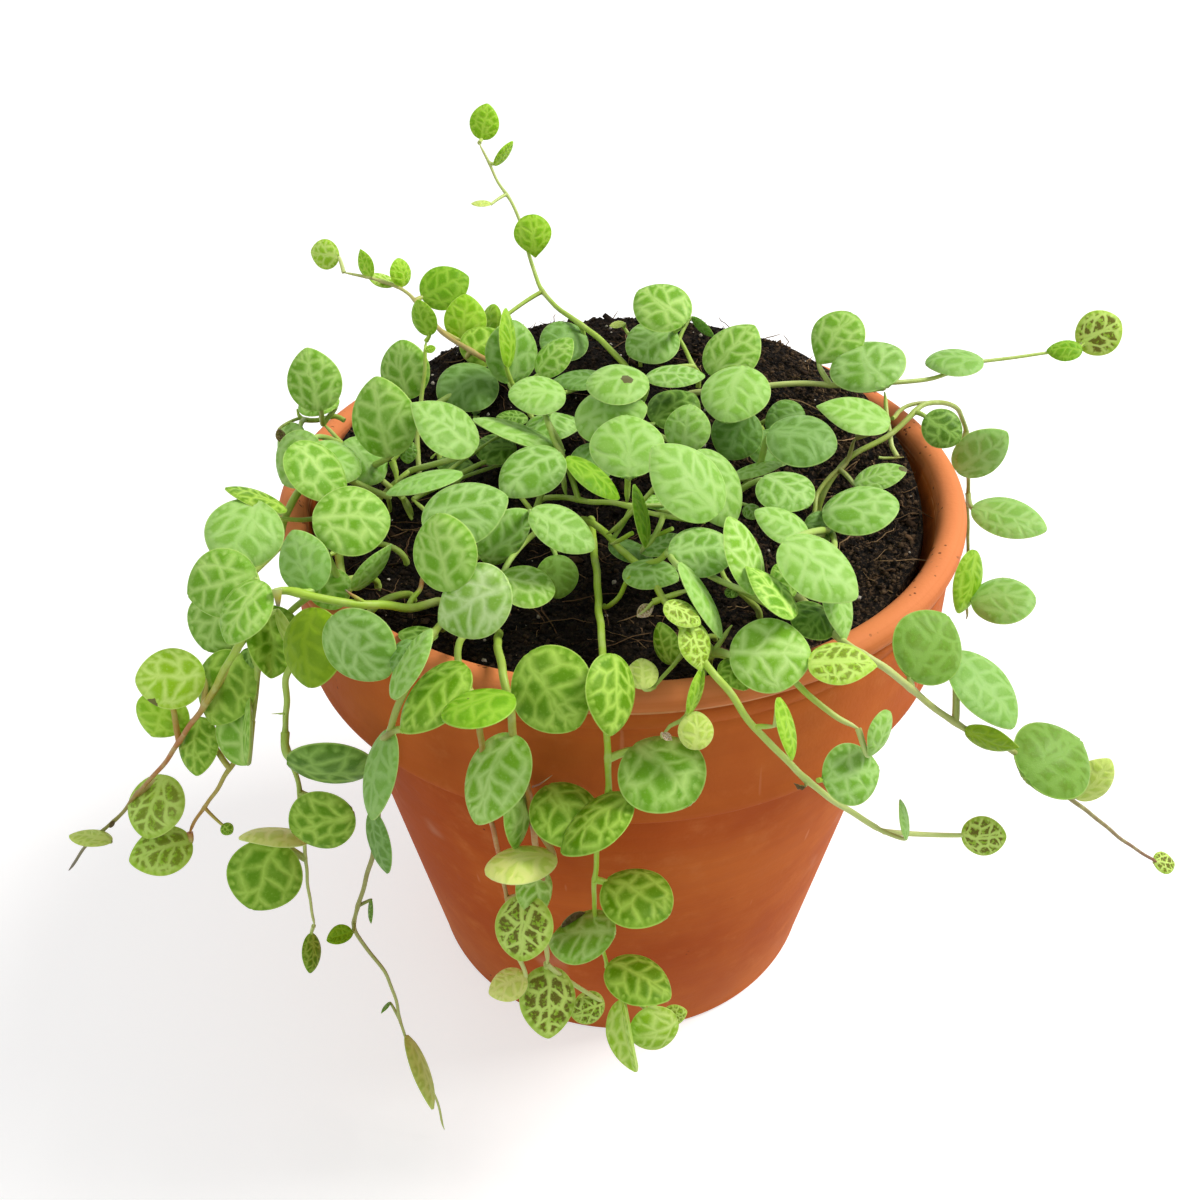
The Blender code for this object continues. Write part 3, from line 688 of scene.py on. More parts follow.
def half_width(form, t):
    """Half a blade's width, from its stalk end, where t is 0, to its tip, where t is 1."""
    blunt = form.base + (form.tip - form.base) * t
    return 0.5 * max(math.sin(math.pi * t**form.lean), 0.0) ** blunt


def blade_form(index, form):
    """One closed blade, 1 m wide: its stalk end on -Y, its tip on +Y and its upper face on +Z."""
    points = []
    marks = []
    insets = []
    side = [(half_width(form, i / 120), (i / 120 - 0.5) * form.length) for i in range(121)]
    outline = np.array(side + [(-x, y) for x, y in reversed(side)])

    def add(x, y, face):
        """A point, from its place on the flat outline and its face, 1 for over and -1 for under."""
        inset = float(np.hypot(outline[:, 0] - x, outline[:, 1] - y).min())
        rho = min((x / 0.5) ** 2 + (y / (0.5 * form.length)) ** 2, 1.0)
        middle = form.dome * (1.0 - rho) - 0.5 * LEAF_THICKNESS * (1.0 - rho) ** 0.5
        plump = 0.5 * LEAF_THICKNESS * min(inset / PLUMP_RIM, 1.0) ** 0.5
        lift = middle + plump * face
        lift += form.fold * abs(x) - form.curl * 0.5 * (y + 0.1) * abs(y + 0.1)
        lift += form.wave * rho * math.sin(5.0 * math.atan2(x, y) + 1.0)
        points.append((x, y, lift))
        marks.append((x, y, face))
        insets.append(inset)

    add(0.0, -0.5 * form.length, 0.0)
    for row in range(1, BLADE_ROWS):
        t = 0.5 - 0.5 * math.cos(math.pi * row / BLADE_ROWS)
        half = half_width(form, t)
        for k in range(BLADE_SIDES):
            angle = math.tau * k / BLADE_SIDES
            face = math.copysign(abs(math.sin(angle)) ** 0.5, math.sin(angle))
            add(half * math.cos(angle), (t - 0.5) * form.length, face)
    add(0.0, 0.5 * form.length, 0.0)
    faces = []
    last = 1 + (BLADE_ROWS - 2) * BLADE_SIDES
    for k in range(BLADE_SIDES):
        j = (k + 1) % BLADE_SIDES
        faces.append((0, 1 + k, 1 + j))
        for row in range(BLADE_ROWS - 2):
            near, far = 1 + row * BLADE_SIDES, 1 + (row + 1) * BLADE_SIDES
            faces.append((near + j, near + k, far + k, far + j))
        faces.append((len(points) - 1, last + j, last + k))
    mesh = bpy.data.meshes.new(f"blade_{index:02d}")
    mesh.from_pydata(points, [], faces)
    blade = mesh.attributes.new("blade", "FLOAT_VECTOR", "POINT")
    blade.data.foreach_set("vector", np.array(marks).ravel())
    mesh.attributes.new("inset", "FLOAT", "POINT").data.foreach_set("value", insets)
    mesh.shade_smooth()
    return bpy.data.objects.new(mesh.name, mesh)


SCUTES = (0.31, 0.24)  # how wide and how long a scute is, over the blade's width
RAYS = 20  # short pale veins that run out to the margin


def leaf_skin():
    """Green scutes between soft pale veins, as on a turtle's back, and a plain pale underside."""
    made, wires, shader, _ = new_material("leaf_skin")

    def attribute(name, output="Fac"):
        return wires.add("ShaderNodeAttribute", attribute_name=name).outputs[output]

    def stirred(vector, scale, amount, seed):
        """The place, pushed about by a noise."""
        push = wires.noise(vector, scale, 1.0, 0.5, seed, "Color")
        push = wires.vector("SUBTRACT", push, (0.5, 0.5, 0.5))
        return wires.vector("ADD", vector, wires.scaled(push, amount))

    def nearer(first, second, blend):
        """The smaller of two distances, rounded where they cross."""
        inputs = {0: first, 1: second, 2: blend}
        return wires.add("ShaderNodeMath", inputs, operation="SMOOTH_MIN").outputs[0]

    flesh, veins = attribute("flesh", "Color"), attribute("veins", "Color")
    clear, spots, seed = attribute("clear"), attribute("spots"), attribute("seed")
    blade, inset = attribute("blade", "Vector"), attribute("inset")
    shift = wires.times(seed, 40.0)
    flat = wires.vector("MULTIPLY", blade, (1.0, 1.0, 0.0))
    face = wires.add("ShaderNodeSeparateXYZ", {0: blade}).outputs[2]

    # how far each point is from a midrib, a net of veins and short rays at the margin
    drawn = stirred(stirred(flat, 2.0, 0.22, shift), 7.0, 0.06, shift)
    x, y, _ = wires.add("ShaderNodeSeparateXYZ", {0: drawn}).outputs
    out = wires.maths("ABSOLUTE", x)
    from_midrib = wires.maths("SUBTRACT", out, wires.maths("MULTIPLY_ADD", y, -0.03, 0.004))
    files = wires.maths("DIVIDE", x, SCUTES[0])
    files = wires.maths("MULTIPLY_ADD", wires.maths("SIGN", x), 3.0, files)
    slope = wires.maths("MULTIPLY_ADD", out, -0.45, y)
    ranks = wires.maths("ADD", wires.maths("DIVIDE", slope, SCUTES[1]), shift)
    net_place = wires.add("ShaderNodeCombineXYZ", {0: files, 1: ranks}).outputs[0]
    cells = {"Vector": net_place, "Scale": 1.0, "Randomness": 0.8}
    net = wires.add("ShaderNodeTexVoronoi", cells, voronoi_dimensions="2D", feature="DISTANCE_TO_EDGE")
    from_net = wires.times(net.outputs["Distance"], 0.27)
    turns = wires.times(wires.maths("ARCTAN2", x, y), RAYS / math.tau)
    turns = wires.maths("FRACT", wires.maths("ADD", turns, seed))
    from_ray = wires.maths("ABSOLUTE", wires.maths("SUBTRACT", turns, 0.5))
    from_ray = wires.maths("MULTIPLY_ADD", from_ray, 0.13, 0.012)
    from_ray = wires.maths("ADD", from_ray, wires.times(wires.step(inset, 0.07, 0.15), 0.1))
    main = nearer(from_midrib, from_net, 0.02)
    nearest = nearer(main, from_ray, 0.01)

    # how much vein shows: soft, ragged, clouded over in places and fainter at the margin
    fine = wires.noise(flat, 12.0, 3.0, 0.6, shift)
    ragged = wires.maths("MULTIPLY_ADD", wires.maths("SUBTRACT", fine, 0.5), 0.05, nearest)
    cloud = wires.noise(flat, 2.8, 2.0, 0.5, wires.maths("ADD", shift, 7.0))
    vein = wires.times(wires.step(ragged, 0.086, -0.030), wires.step(cloud, 0.10, 0.50))
    edge = wires.maths("MULTIPLY_ADD", wires.step(inset, 0.02, 0.09), 0.6, 0.4)
    pale = wires.times(wires.times(vein, edge), clear)

    # the upper face: deeper green inside each scute, with a fine mottle and a haze
    deep = wires.mix(1.0, flesh, shade(232, 240, 200), "MULTIPLY")
    scute = wires.mix(wires.step(ragged, 0.02, 0.075), flesh, deep)
    upper = wires.mix(pale, scute, veins)
    mottle = wires.step(wires.noise(flat, 30.0, 3.0, 0.7, shift), 0.50, 0.72)
    upper = wires.laid(upper, veins, mottle, 0.22)
    upper = wires.laid(upper, veins, wires.step(cloud, 0.45, 0.75), 0.25)

    # brown blotches inside the scutes of the spotted leaves
    patches = wires.noise(flat, 12.0, 2.0, 0.6, wires.maths("ADD", shift, 3.0))
    inner = wires.times(wires.step(ragged, 0.022, 0.042), wires.step(inset, 0.05, 0.11))
    speckle = wires.maths("MULTIPLY_ADD", wires.noise(flat, 45.0, 2.0, 0.7, shift), 0.8, 0.5)
    blotch = wires.times(wires.times(inner, wires.step(patches, 0.40, 0.52)), speckle)
    upper = wires.laid(upper, shade(98, 78, 26), blotch, spots)

    # the underside, and the thin bright margin
    under = wires.mix(0.5, flesh, shade(180, 206, 120))
    under = wires.laid(under, veins, pale, 0.2)
    colour = wires.mix(wires.step(face, -0.25, 0.0), under, upper)
    margin_tone = wires.mix(0.45, veins, shade(196, 224, 120))
    colour = wires.laid(colour, margin_tone, wires.step(inset, 0.020, 0.006), 0.55)

    # a dry brown scar, at a place and of a size on the blade, where the size is over 0
    scar = attribute("scar", "Vector")
    scar_size = wires.add("ShaderNodeSeparateXYZ", {0: scar}).outputs[2]
    from_scar = wires.vector("SUBTRACT", flat, wires.vector("MULTIPLY", scar, (1.0, 1.0, 0.0)))
    from_scar = wires.add("ShaderNodeVectorMath", {0: from_scar}, operation="LENGTH").outputs["Value"]
    torn = wires.maths("MULTIPLY_ADD", wires.maths("SUBTRACT", fine, 0.4), 0.10, from_scar)
    scarred = wires.maths("GREATER_THAN", scar_size, 0.001)
    hurt = wires.times(wires.maths("LESS_THAN", torn, scar_size), scarred)
    colour = wires.laid(colour, shade(92, 70, 52), hurt, 0.85)

    wires.feed(shader["Base Color"], colour)
    wires.feed(shader["Roughness"], wires.maths("MULTIPLY_ADD", fine, 0.16, 0.40))
    shader["Specular IOR Level"].default_value = 0.16
    shader["Subsurface Weight"].default_value = 0.15
    shader["Subsurface Radius"].default_value = (0.6, 1.0, 0.15)
    shader["Subsurface Scale"].default_value = 1.2 * MM
    pillow = wires.bump(wires.step(main, 0.0, 0.09), 0.07 * MM)
    grain = wires.noise(flat, 60.0, 2.0, 0.6, shift)
    wires.feed(shader["Normal"], wires.bump(grain, 0.03 * MM, pillow))
    return made


def stem_skin():
    """Smooth and a little waxy, with long streaks along the stem, coloured point by point."""
    made, wires, shader, place = new_material("stem_skin")
    tint = wires.add("ShaderNodeAttribute", attribute_name="tint").outputs["Color"]
    streaks = wires.noise(place, 420.0, 3.0, 0.6, seed=1.0)
    patches = wires.noise(place, 140.0, 2.0, 0.6, seed=3.0)
    colour = wires.laid(tint, shade(206, 218, 146), wires.step(streaks, 0.45, 0.7), 0.35)
    colour = wires.laid(colour, shade(150, 110, 60), wires.step(patches, 0.55, 0.7), 0.18)
    wires.feed(shader["Base Color"], colour)
    wires.feed(shader["Roughness"], wires.maths("MULTIPLY_ADD", streaks, 0.2, 0.38))
    wires.feed(shader["Normal"], wires.bump(streaks, 0.15 * MM))
    return made


leaf_skin()
stem_skin()
blades = form_collection("blade_forms", [blade_form(i, form) for i, form in enumerate(FORMS.values())])


def growing_tree():
    """Swells the drawn stems and stalks to their thickness and sets a blade at each loose point."""
    tree, wires, given, result = new_tree(
        "grown_vine",
        Blades=blades,
        Stem_Sides=12,
        Stem_Skin=bpy.data.materials["stem_skin"],
        Leaf_Skin=bpy.data.materials["leaf_skin"],
    )

    def named(name, kind):
        return wires.add("GeometryNodeInputNamedAttribute", {"Name": name}, data_type=kind).outputs[0]

    parted = wires.add("GeometryNodeSeparateGeometry", {"Geometry": given["Geometry"]})
    wires.feed(parted.inputs["Selection"], named("is_blade", "BOOLEAN"))
    lines = wires.add("GeometryNodeMeshToCurve", {"Mesh": parted.outputs["Inverted"]})
    inputs = {"Resolution": given["Stem Sides"], "Radius": 1.0}
    ring = wires.add("GeometryNodeCurvePrimitiveCircle", inputs)
    inputs = {0: lines.outputs[0], 1: ring.outputs[0], "Fill Caps": True}
    stems = wires.add("GeometryNodeCurveToMesh", inputs)
    wires.feed(stems.inputs["Scale"], named("thick", "FLOAT"))
    inputs = {"Collection": given["Blades"], "Separate Children": True, "Reset Children": True}
    forms = wires.add("GeometryNodeCollectionInfo", inputs)
    inputs = {"Points": parted.outputs["Selection"], "Pick Instance": True}
    put = wires.add("GeometryNodeInstanceOnPoints", inputs)
    wires.feed(put.inputs["Instance"], forms.outputs[0])
    wires.feed(put.inputs["Instance Index"], named("form", "INT"))
    euler = wires.add("FunctionNodeEulerToRotation", {0: named("turn", "FLOAT_VECTOR")})
    wires.feed(put.inputs["Rotation"], euler.outputs[0])
    wires.feed(put.inputs["Scale"], named("size", "FLOAT_VECTOR"))
    real = wires.add("GeometryNodeRealizeInstances", {"Geometry": put.outputs[0]})
    joined = wires.add("GeometryNodeJoinGeometry")
    wires.feed(joined.inputs[0], wires.clad(stems, given["Stem Skin"]).outputs[0])
    wires.feed(joined.inputs[0], wires.clad(real, given["Leaf Skin"]).outputs[0])
    smooth = wires.add("GeometryNodeSetShadeSmooth", {"Geometry": joined.outputs[0]})
    wires.feed(result["Geometry"], smooth.outputs[0])
    return tree


growing = growing_tree()
LOOKS = {  # the flesh, the veins, how clear the veins are, and how far brown covers the scutes
    "mature": (shade(128, 180, 68), shade(188, 224, 142), 0.8, 0.0),
    "hazy": (shade(146, 196, 88), shade(192, 226, 142), 0.6, 0.0),
    "fresh": (shade(126, 182, 48), shade(196, 230, 132), 0.9, 0.0),
    # painted light: a lighter copy for leaves that face away from the lamps
    "bright": (shade(138, 192, 56), shade(206, 238, 150), 0.9, 0.0),
    "deep": (shade(110, 160, 8), shade(190, 226, 100), 0.9, 0.0),
    "dark": (shade(82, 126, 14), shade(160, 202, 98), 0.8, 0.0),
    # painted shade: a darker, greyer copy for leaves in shadow
    "dusk": (shade(108, 154, 64), shade(156, 196, 118), 0.6, 0.0),
    "apple": (shade(118, 174, 14), shade(172, 212, 76), 0.6, 0.0),
    "lime": (shade(134, 186, 24), shade(190, 226, 92), 0.6, 0.0),
    "grey": (shade(142, 192, 94), shade(182, 218, 134), 0.4, 0.0),
    "pale": (shade(206, 228, 116), shade(222, 240, 146), 0.2, 0.0),
    "glow": (shade(130, 168, 6), shade(162, 198, 50), 0.2, 0.0),
    "sunny": (shade(154, 212, 26), shade(206, 240, 100), 0.6, 0.0),
    "spring": (shade(168, 214, 44), shade(226, 250, 150), 0.8, 0.0),
    "mint": (shade(158, 206, 92), shade(220, 244, 178), 0.9, 0.0),
    "lit": (shade(240, 255, 146), shade(250, 255, 176), 0.15, 0.0),
    "zest": (shade(118, 180, 20), shade(204, 242, 124), 1.0, 0.0),
    "moss": (shade(124, 168, 64), shade(158, 198, 104), 0.25, 0.15),
    "dotted": (shade(170, 212, 60), shade(218, 244, 140), 0.75, 0.55),
    "spotted": (shade(162, 200, 60), shade(216, 240, 134), 0.95, 0.9),
    "dry": (shade(96, 78, 54), shade(140, 120, 90), 0.5, 0.3),
    "husk": (shade(206, 176, 140), shade(240, 228, 204), 0.7, 0.5),
}
STEM = {  # the tones that a stem has along its length
    "green": shade(166, 196, 76),
    "pale": shade(196, 210, 124),
    "lime": shade(168, 204, 60),
    "red": shade(178, 116, 52),
    "brown": shade(132, 82, 58),
    "olive": shade(140, 138, 62),
    "dry": shade(120, 112, 96),
}
CARRIED = {  # what each point of a vine carries, of what kind, and what it is if nothing is given
    "thick": ("FLOAT", 0.0),
    "tint": ("FLOAT_COLOR", STEM["green"]),
    "is_blade": ("BOOLEAN", False),
    "form": ("INT", 0),
    "turn": ("FLOAT_VECTOR", (0, 0, 0)),
    "size": ("FLOAT_VECTOR", (0, 0, 0)),
    "flesh": ("FLOAT_COLOR", STEM["green"]),
    "veins": ("FLOAT_COLOR", STEM["green"]),
    "clear": ("FLOAT", 0.0),
    "spots": ("FLOAT", 0.0),
    "seed": ("FLOAT", 0.0),
    "scar": ("FLOAT_VECTOR", (0, 0, 0)),
}
STEM_STEP = 0.8
STEM_ROOT = 3.5  # how deep a stem's foot goes into the soil
CROOKED = 0.2  # how far a stem wavers off its route
SWELLING = 0.22  # how much thicker the stem is at a joint
SWOLLEN = 0.9  # how far from a joint the stem is swollen
SLIMMER = 0.78  # the stem between its joints, over its plain solid
STALK_STEPS = 12
SHORTEST_STALK = 0.6  # a leaf any nearer to its stem sits on it with no stalk
ON_STEM = 0.3  # how near the stem's line a leaf's middle is straight over it


def smooth_route(points, step):
    """Points about a step apart along the smooth curve through a route's own points."""
    points = [Vector(point) for point in points]
    padded = [2 * points[0] - points[1], *points, 2 * points[-1] - points[-2]]
    curve = []
    for before, start, end, after in zip(padded, padded[1:], padded[2:], padded[3:]):
        count = max(1, round((end - start).length / step))
        for i in range(count):
            t = i / count
            curve.append(
                start
                + 0.5 * t * (end - before)
                + t * t * (before - 2.5 * start + 2 * end - 0.5 * after)
                + t**3 * (1.5 * (start - end) + 0.5 * (after - before))
            )
    return [*curve, points[-1]]


def facing(heading, rise):
    """The direction with a compass heading and a rise over level, both in degrees."""
    heading, rise = math.radians(heading), math.radians(rise)
    level = math.cos(rise)
    return Vector((level * math.cos(heading), level * math.sin(heading), math.sin(rise)))


def blended(first, second, share):
    return [a + (b - a) * share for a, b in zip(first, second)]


def tone_at(share, tones):
    """The tone at a share of the way along a stem, which has these tones from foot to tip."""
    shares = np.linspace(0.0, 1.0, len(tones))
    return [float(np.interp(share, shares, [tone[c] for tone in tones])) for c in range(4)]


class Growth:
    """One vine as it is drawn: its points, the links between them and what each point carries."""

    def __init__(self):
        self.points = []
        self.links = []
        self.values = {key: [] for key in CARRIED}

    def add(self, point, linked, **own):
        """One more point, linked to the one before it or not."""
        if linked:
            self.links.append((len(self.points) - 1, len(self.points)))
        self.points.append(tuple(point))
        for key, (_, plain) in CARRIED.items():
            self.values[key].append(own.get(key, plain))

    def mesh(self, name):
        made = outlined(name, self.points, self.links)
        fields = {"FLOAT_COLOR": "color", "FLOAT_VECTOR": "vector"}
        for key, (kind, _) in CARRIED.items():
            data = made.attributes.new(key, kind, "POINT").data
            data.foreach_set(fields.get(kind, "value"), np.array(self.values[key]).ravel())
        return made


def crooked_line(way, draw):
    """A stem's points along its way, which waver a little, as a grown stem does."""
    phases = [draw.uniform(0.0, math.tau) for _ in range(4)]
    line = smooth_route(way, STEM_STEP)
    for i, point in enumerate(line[1:-1], 1):
        run = i * STEM_STEP
        waver = 0.5 * math.sin(run / 3.1 + phases[0]) + 0.3 * math.sin(run / 1.2 + phases[1])
        point.x += CROOKED * waver
        point.y += CROOKED * 0.4 * math.sin(run / 2.3 + phases[2])
        point.z += CROOKED * 0.5 * math.sin(run / 2.7 + phases[3])
    return line


def draw_stem(growth, line, thick, tip, tones, joints):
    """A stem that thins from its foot to its tip and swells a little at each joint."""
    last = len(line) - 1
    for i, point in enumerate(line):
        radius = 0.5 * SLIMMER * (thick + (tip - thick) * i / last)
        radius *= min(1.0, 0.35 + (last - i) * 0.3)  # rounds off the very tip
        near = min((abs(i - joint) * STEM_STEP for joint in joints), default=10 * SWOLLEN)
        radius *= 1.0 + SWELLING * math.exp(-((near / SWOLLEN) ** 2))
        growth.add(point, i > 0, thick=radius * MM, tint=tone_at(i / last, tones))


def draw_blade(growth, leaf, midrib, normal, draw):
    """A leaf's blade, as one loose point that says how it is turned, sized and coloured."""
    turned = Matrix((midrib.cross(normal), midrib, normal)).transposed()
    flesh, veins, clear, spots = LOOKS[leaf.look]
    vary = draw.uniform(0.93, 1.07)
    growth.add(
        leaf[:3],
        False,
        is_blade=True,
        form=list(FORMS).index(leaf.form),
        turn=tuple(turned.to_euler()),
        size=[leaf.width * MM * draw.uniform(0.97, 1.03) for _ in range(3)],
        flesh=[c * vary for c in flesh],
        veins=veins,
        clear=clear,
        spots=spots,
        seed=draw.random(),
        scar=leaf.scar or (0, 0, 0),
    )


def draw_stalk(growth, leaf, midrib, normal, line, joint, tones):
    """A leaf's stalk: it leaves the stem aslant and bends round into the foot of the midrib."""
    start = line[joint]
    end = Vector(leaf[:3]) + midrib * leaf.width * (0.06 - 0.5 * FORMS[leaf.form].length)
    end -= normal * 0.02 * leaf.width
    reach = (end - start).length
    if reach < SHORTEST_STALK:
        return
    last = len(line) - 1
    along = (line[min(joint + 1, last)] - line[max(joint - 1, 0)]).normalized()
    out = ((end - start).normalized() + 0.4 * along).normalized()
    thick = 0.20 + 0.028 * leaf.width
    tone = tone_at(joint / last, tones)
    leafy_tone = blended(tone, LOOKS[leaf.look][1], 0.5)
    for k in range(STALK_STEPS + 1):
        t = k / STALK_STEPS
        first = start + out * reach * 0.45 * t
        second = end - midrib * min(0.45 * reach, 0.2 * leaf.width) * (1.0 - t)
        point = first.lerp(second, eased(t))
        growth.add(point, k > 0, thick=thick * MM * (1.15 - 0.3 * t), tint=blended(tone, leafy_tone, t))


def grow(name, thick, tip, route, leaves, stem=("green",), branches=()):
    """One vine in place of its plain solid: its stem and side stems, and each leaf on its stalk.

    A side stem is its thickness at its foot and its tip, its route, and any tone of its own.
    """
    draw = random.Random(name)
    spine = smooth_route(route, STEM_STEP)
    foot = Vector(route[0])
    foot.z = min(foot.z, soil_height(foot.x, foot.y)) - STEM_ROOT
    stems = []
    for thick_here, tip_here, way, *tones in [(thick, tip, [foot, *route]), *branches]:
        line = crooked_line(way, draw)
        stems.append((line, thick_here, tip_here, [STEM[tone] for tone in tones or stem]))
    places = [(line, i, tones) for line, _, _, tones in stems for i in range(len(line))]
    joints = []
    for leaf in leaves:
        centre = Vector(leaf[:3])
        joints.append(min(places, key=lambda place: (place[0][place[1]] - centre).length))
    growth = Growth()
    for line, thick_here, tip_here, tones in stems:
        joints_here = [i for on, i, _ in joints if on is line]
        draw_stem(growth, line, thick_here, tip_here, tones, joints_here)
    for leaf, (line, joint, tones) in zip(leaves, joints):
        centre = Vector(leaf[:3])
        normal = facing(leaf.heading, leaf.rise)
        midrib = centre - min(spine, key=lambda point: (point - centre).length)
        midrib -= normal * midrib.dot(normal)
        if midrib.length < ON_STEM:  # no way to tell where it grows from, so it hangs down
            midrib = Vector((0, 0, -1)) + normal * normal.z
        midrib = Matrix.Rotation(math.radians(leaf.turn), 3, normal) @ midrib.normalized()
        draw_blade(growth, leaf, midrib, normal, draw)
        draw_stalk(growth, leaf, midrib, normal, line, joint, tones)
    piece = worked(name + "_grown", growth.mesh(name + "_growth"), growing)
    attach(piece, "root")
    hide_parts(name)


grow(
    "back_tall_vine",
    thick=1.5,
    tip=0.6,
    stem=("lime", "green", "pale"),
    route=[
        (2, 22, 106.5), (-3, 28, 110), (-11, 38, 112), (-15, 46, 115), (-18, 53, 124),
        (-22, 58, 128.5), (-25, 62, 134),
    ],
    leaves=[
        Leaf(-15, 47.5, 121.5, 7, 275, 20, "sunny", "spoon", 65),
        Leaf(-20.5, 60.5, 132.5, 4, 320, -25, "sunny", "long", 10),
        Leaf(-24, 65, 137, 5.5, 275, 15, "sunny", "egg", 5),
        Leaf(-24.5, 52, 126, 2.8, 270, 85, "pale", "long", -45),
        Leaf(-23, 38.5, 109, 6, 215, 25, "sunny", "round", -50),
        Leaf(-9.5, 30.5, 108.5, 8.5, 295, 60, "dusk", "round", -20),
    ],
)

grow(
    "back_left_vine",
    thick=1.4,
    tip=0.6,
    stem=("red", "pale"),
    route=[
        (-18, 21, 106), (-25, 25, 109), (-31, 30, 111), (-38, 39, 114.5), (-43, 40, 116.5),
        (-49, 40, 118),
    ],
    leaves=[
        Leaf(-31, 40, 115, 8, 275, 40, "apple", "egg", -5),
        Leaf(-27, 33, 112, 7.5, 275, 25, "sunny", "egg", 60),
        Leaf(-39, 41, 117.5, 5, 320, 15, "sunny", "round", 30),
        Leaf(-45, 40.5, 119.5, 4, 235, 10, "sunny", "pointed", 30),
        Leaf(-43, 42.5, 115.5, 4.5, 330, 70, "spring", "egg", 85),
        Leaf(-52.5, 42.5, 120.5, 5.5, 255, 20, "spring", "round", 30),
        Leaf(-23.5, 28, 109, 8.5, 280, 60, "deep", "round", 0),
    ],
)

grow(
    "left_upright_shoot",
    thick=1.2,
    tip=0.7,
    stem=("pale", "lime"),
    route=[(-33, 1, 99), (-33, 5, 105), (-32, 8, 111), (-31, 11, 118)],
    leaves=[
        Leaf(-31, 11, 122, 5, 240, 5, "lime", "egg", 20),
        Leaf(-30, 8, 118, 1.6, 260, 60, "lime", "round", 70),
    ],
)

grow(
    "back_right_vine",
    thick=1.5,
    tip=0.6,
    stem=("pale", "green"),
    route=[
        (12, 17, 104.5), (21, 15, 106.5), (31, 15, 107.5), (39, 14, 107.5), (53, 17, 107),
        (63, 23, 107), (80, 27, 107), (84, 30, 107),
    ],
    branches=[
        (1, 0.9, [
            (44, -3, 103.5), (43.5, -0.5, 104), (43.5, 2, 105.5), (43.5, 5.5, 107.5),
            (43.5, 8.5, 109),
        ]),
    ],
    leaves=[
        Leaf(36.5, 18, 114, 9.5, 240, 45, "fresh", "spoon", -25),
        Leaf(41, 12, 112, 12.5, 230, 70, "mature", "wide", 135),
        Leaf(57.5, 19, 109, 9.5, 225, 85, "grey", "round", -170),
        Leaf(78.5, 25, 108, 5, 230, 65, "apple", "egg", -135),
        Leaf(87, 32, 108, 8.5, 255, 25, "spotted", "wide", 0),
    ],
)


# ---------------------------------------------------------------- the vines on the right
# Long stems that lean over the rim and hang free on the right, in one piece with their
# leaves. Most leaves here are grown, thick and greyish green, and the tips are brown.

grow(
    "right_rim_vine",
    thick=1.25,
    tip=0.7,
    stem=("green", "olive"),
    route=[
        (32, -6, 97.5), (36, -3, 103), (44, 1, 106), (50, 6, 108), (57, 12, 104), (62, 17, 94),
        (66, 20, 76), (70, 20, 52),
    ],
    branches=[
        (0.9, 0.8, [(43.5, 1.5, 108), (45, 4, 108), (47.5, 6, 108), (51.5, 7.5, 107.5)]),
        (1, 0.9, [
            (29, -15, 96.5), (30, -12, 99), (30.5, -9, 100.5), (33, -6.5, 102.5),
            (35.5, -4.5, 103.5), (37.5, -1, 106),
        ]),
        (0.6, 0.5, [(41, -3, 103.5), (42.5, -3, 103.5), (45, -3, 103.5)]),
    ],
    leaves=[
        Leaf(51.5, 0.5, 106.5, 6.5, 270, 45, "dark", "round", 0),
        Leaf(36.5, -1, 110, 9, 295, 75, "hazy", "pointed", 10),
        Leaf(62.5, 11, 96, 9, 270, 5, "grey", "egg", 90),
        Leaf(70, 11, 82, 9.5, 255, 75, "grey", "long", 30),
        Leaf(73.5, 13, 62, 12, 210, 75, "grey", "wide", 40),
        Leaf(67, 16.5, 64, 9, 310, 20, "lime", "long", 35),
        Leaf(39, -13, 106, 6, 200, 70, "hazy", "long", 65, (0, 0.6, 0.12)),
    ],
)

grow(
    "right_front_vine",
    thick=1.5,
    tip=0.6,
    stem=("pale", "pale", "olive", "brown"),
    route=[
        (25, -30, 96.5), (27, -47, 103), (31, -53, 103.5), (38, -51, 96), (45, -52, 90.5),
        (52, -52, 86.5), (64, -50, 74), (77, -47, 60.5), (82, -46, 56),
    ],
    leaves=[
        Leaf(24, -45, 104, 6.5, 315, 70, "dark", "round", 60),
        Leaf(26, -55.5, 105.5, 6.5, 235, 75, "dotted", "pointed", 125),
        Leaf(39, -47.5, 101.5, 10, 290, 45, "moss", "round", -10),
        Leaf(46.5, -50, 96, 9, 310, 65, "grey", "long", -110),
        Leaf(47.5, -54, 91, 5.5, 240, -15, "glow", "pointed", -55),
        Leaf(57.5, -52, 85, 11.5, 305, 65, "moss", "round", 25),
        Leaf(65, -50, 79, 6.5, 275, 15, "pale", "egg", 5),
        Leaf(83, -46, 56, 3.6, 300, 60, "spotted"),
    ],
)

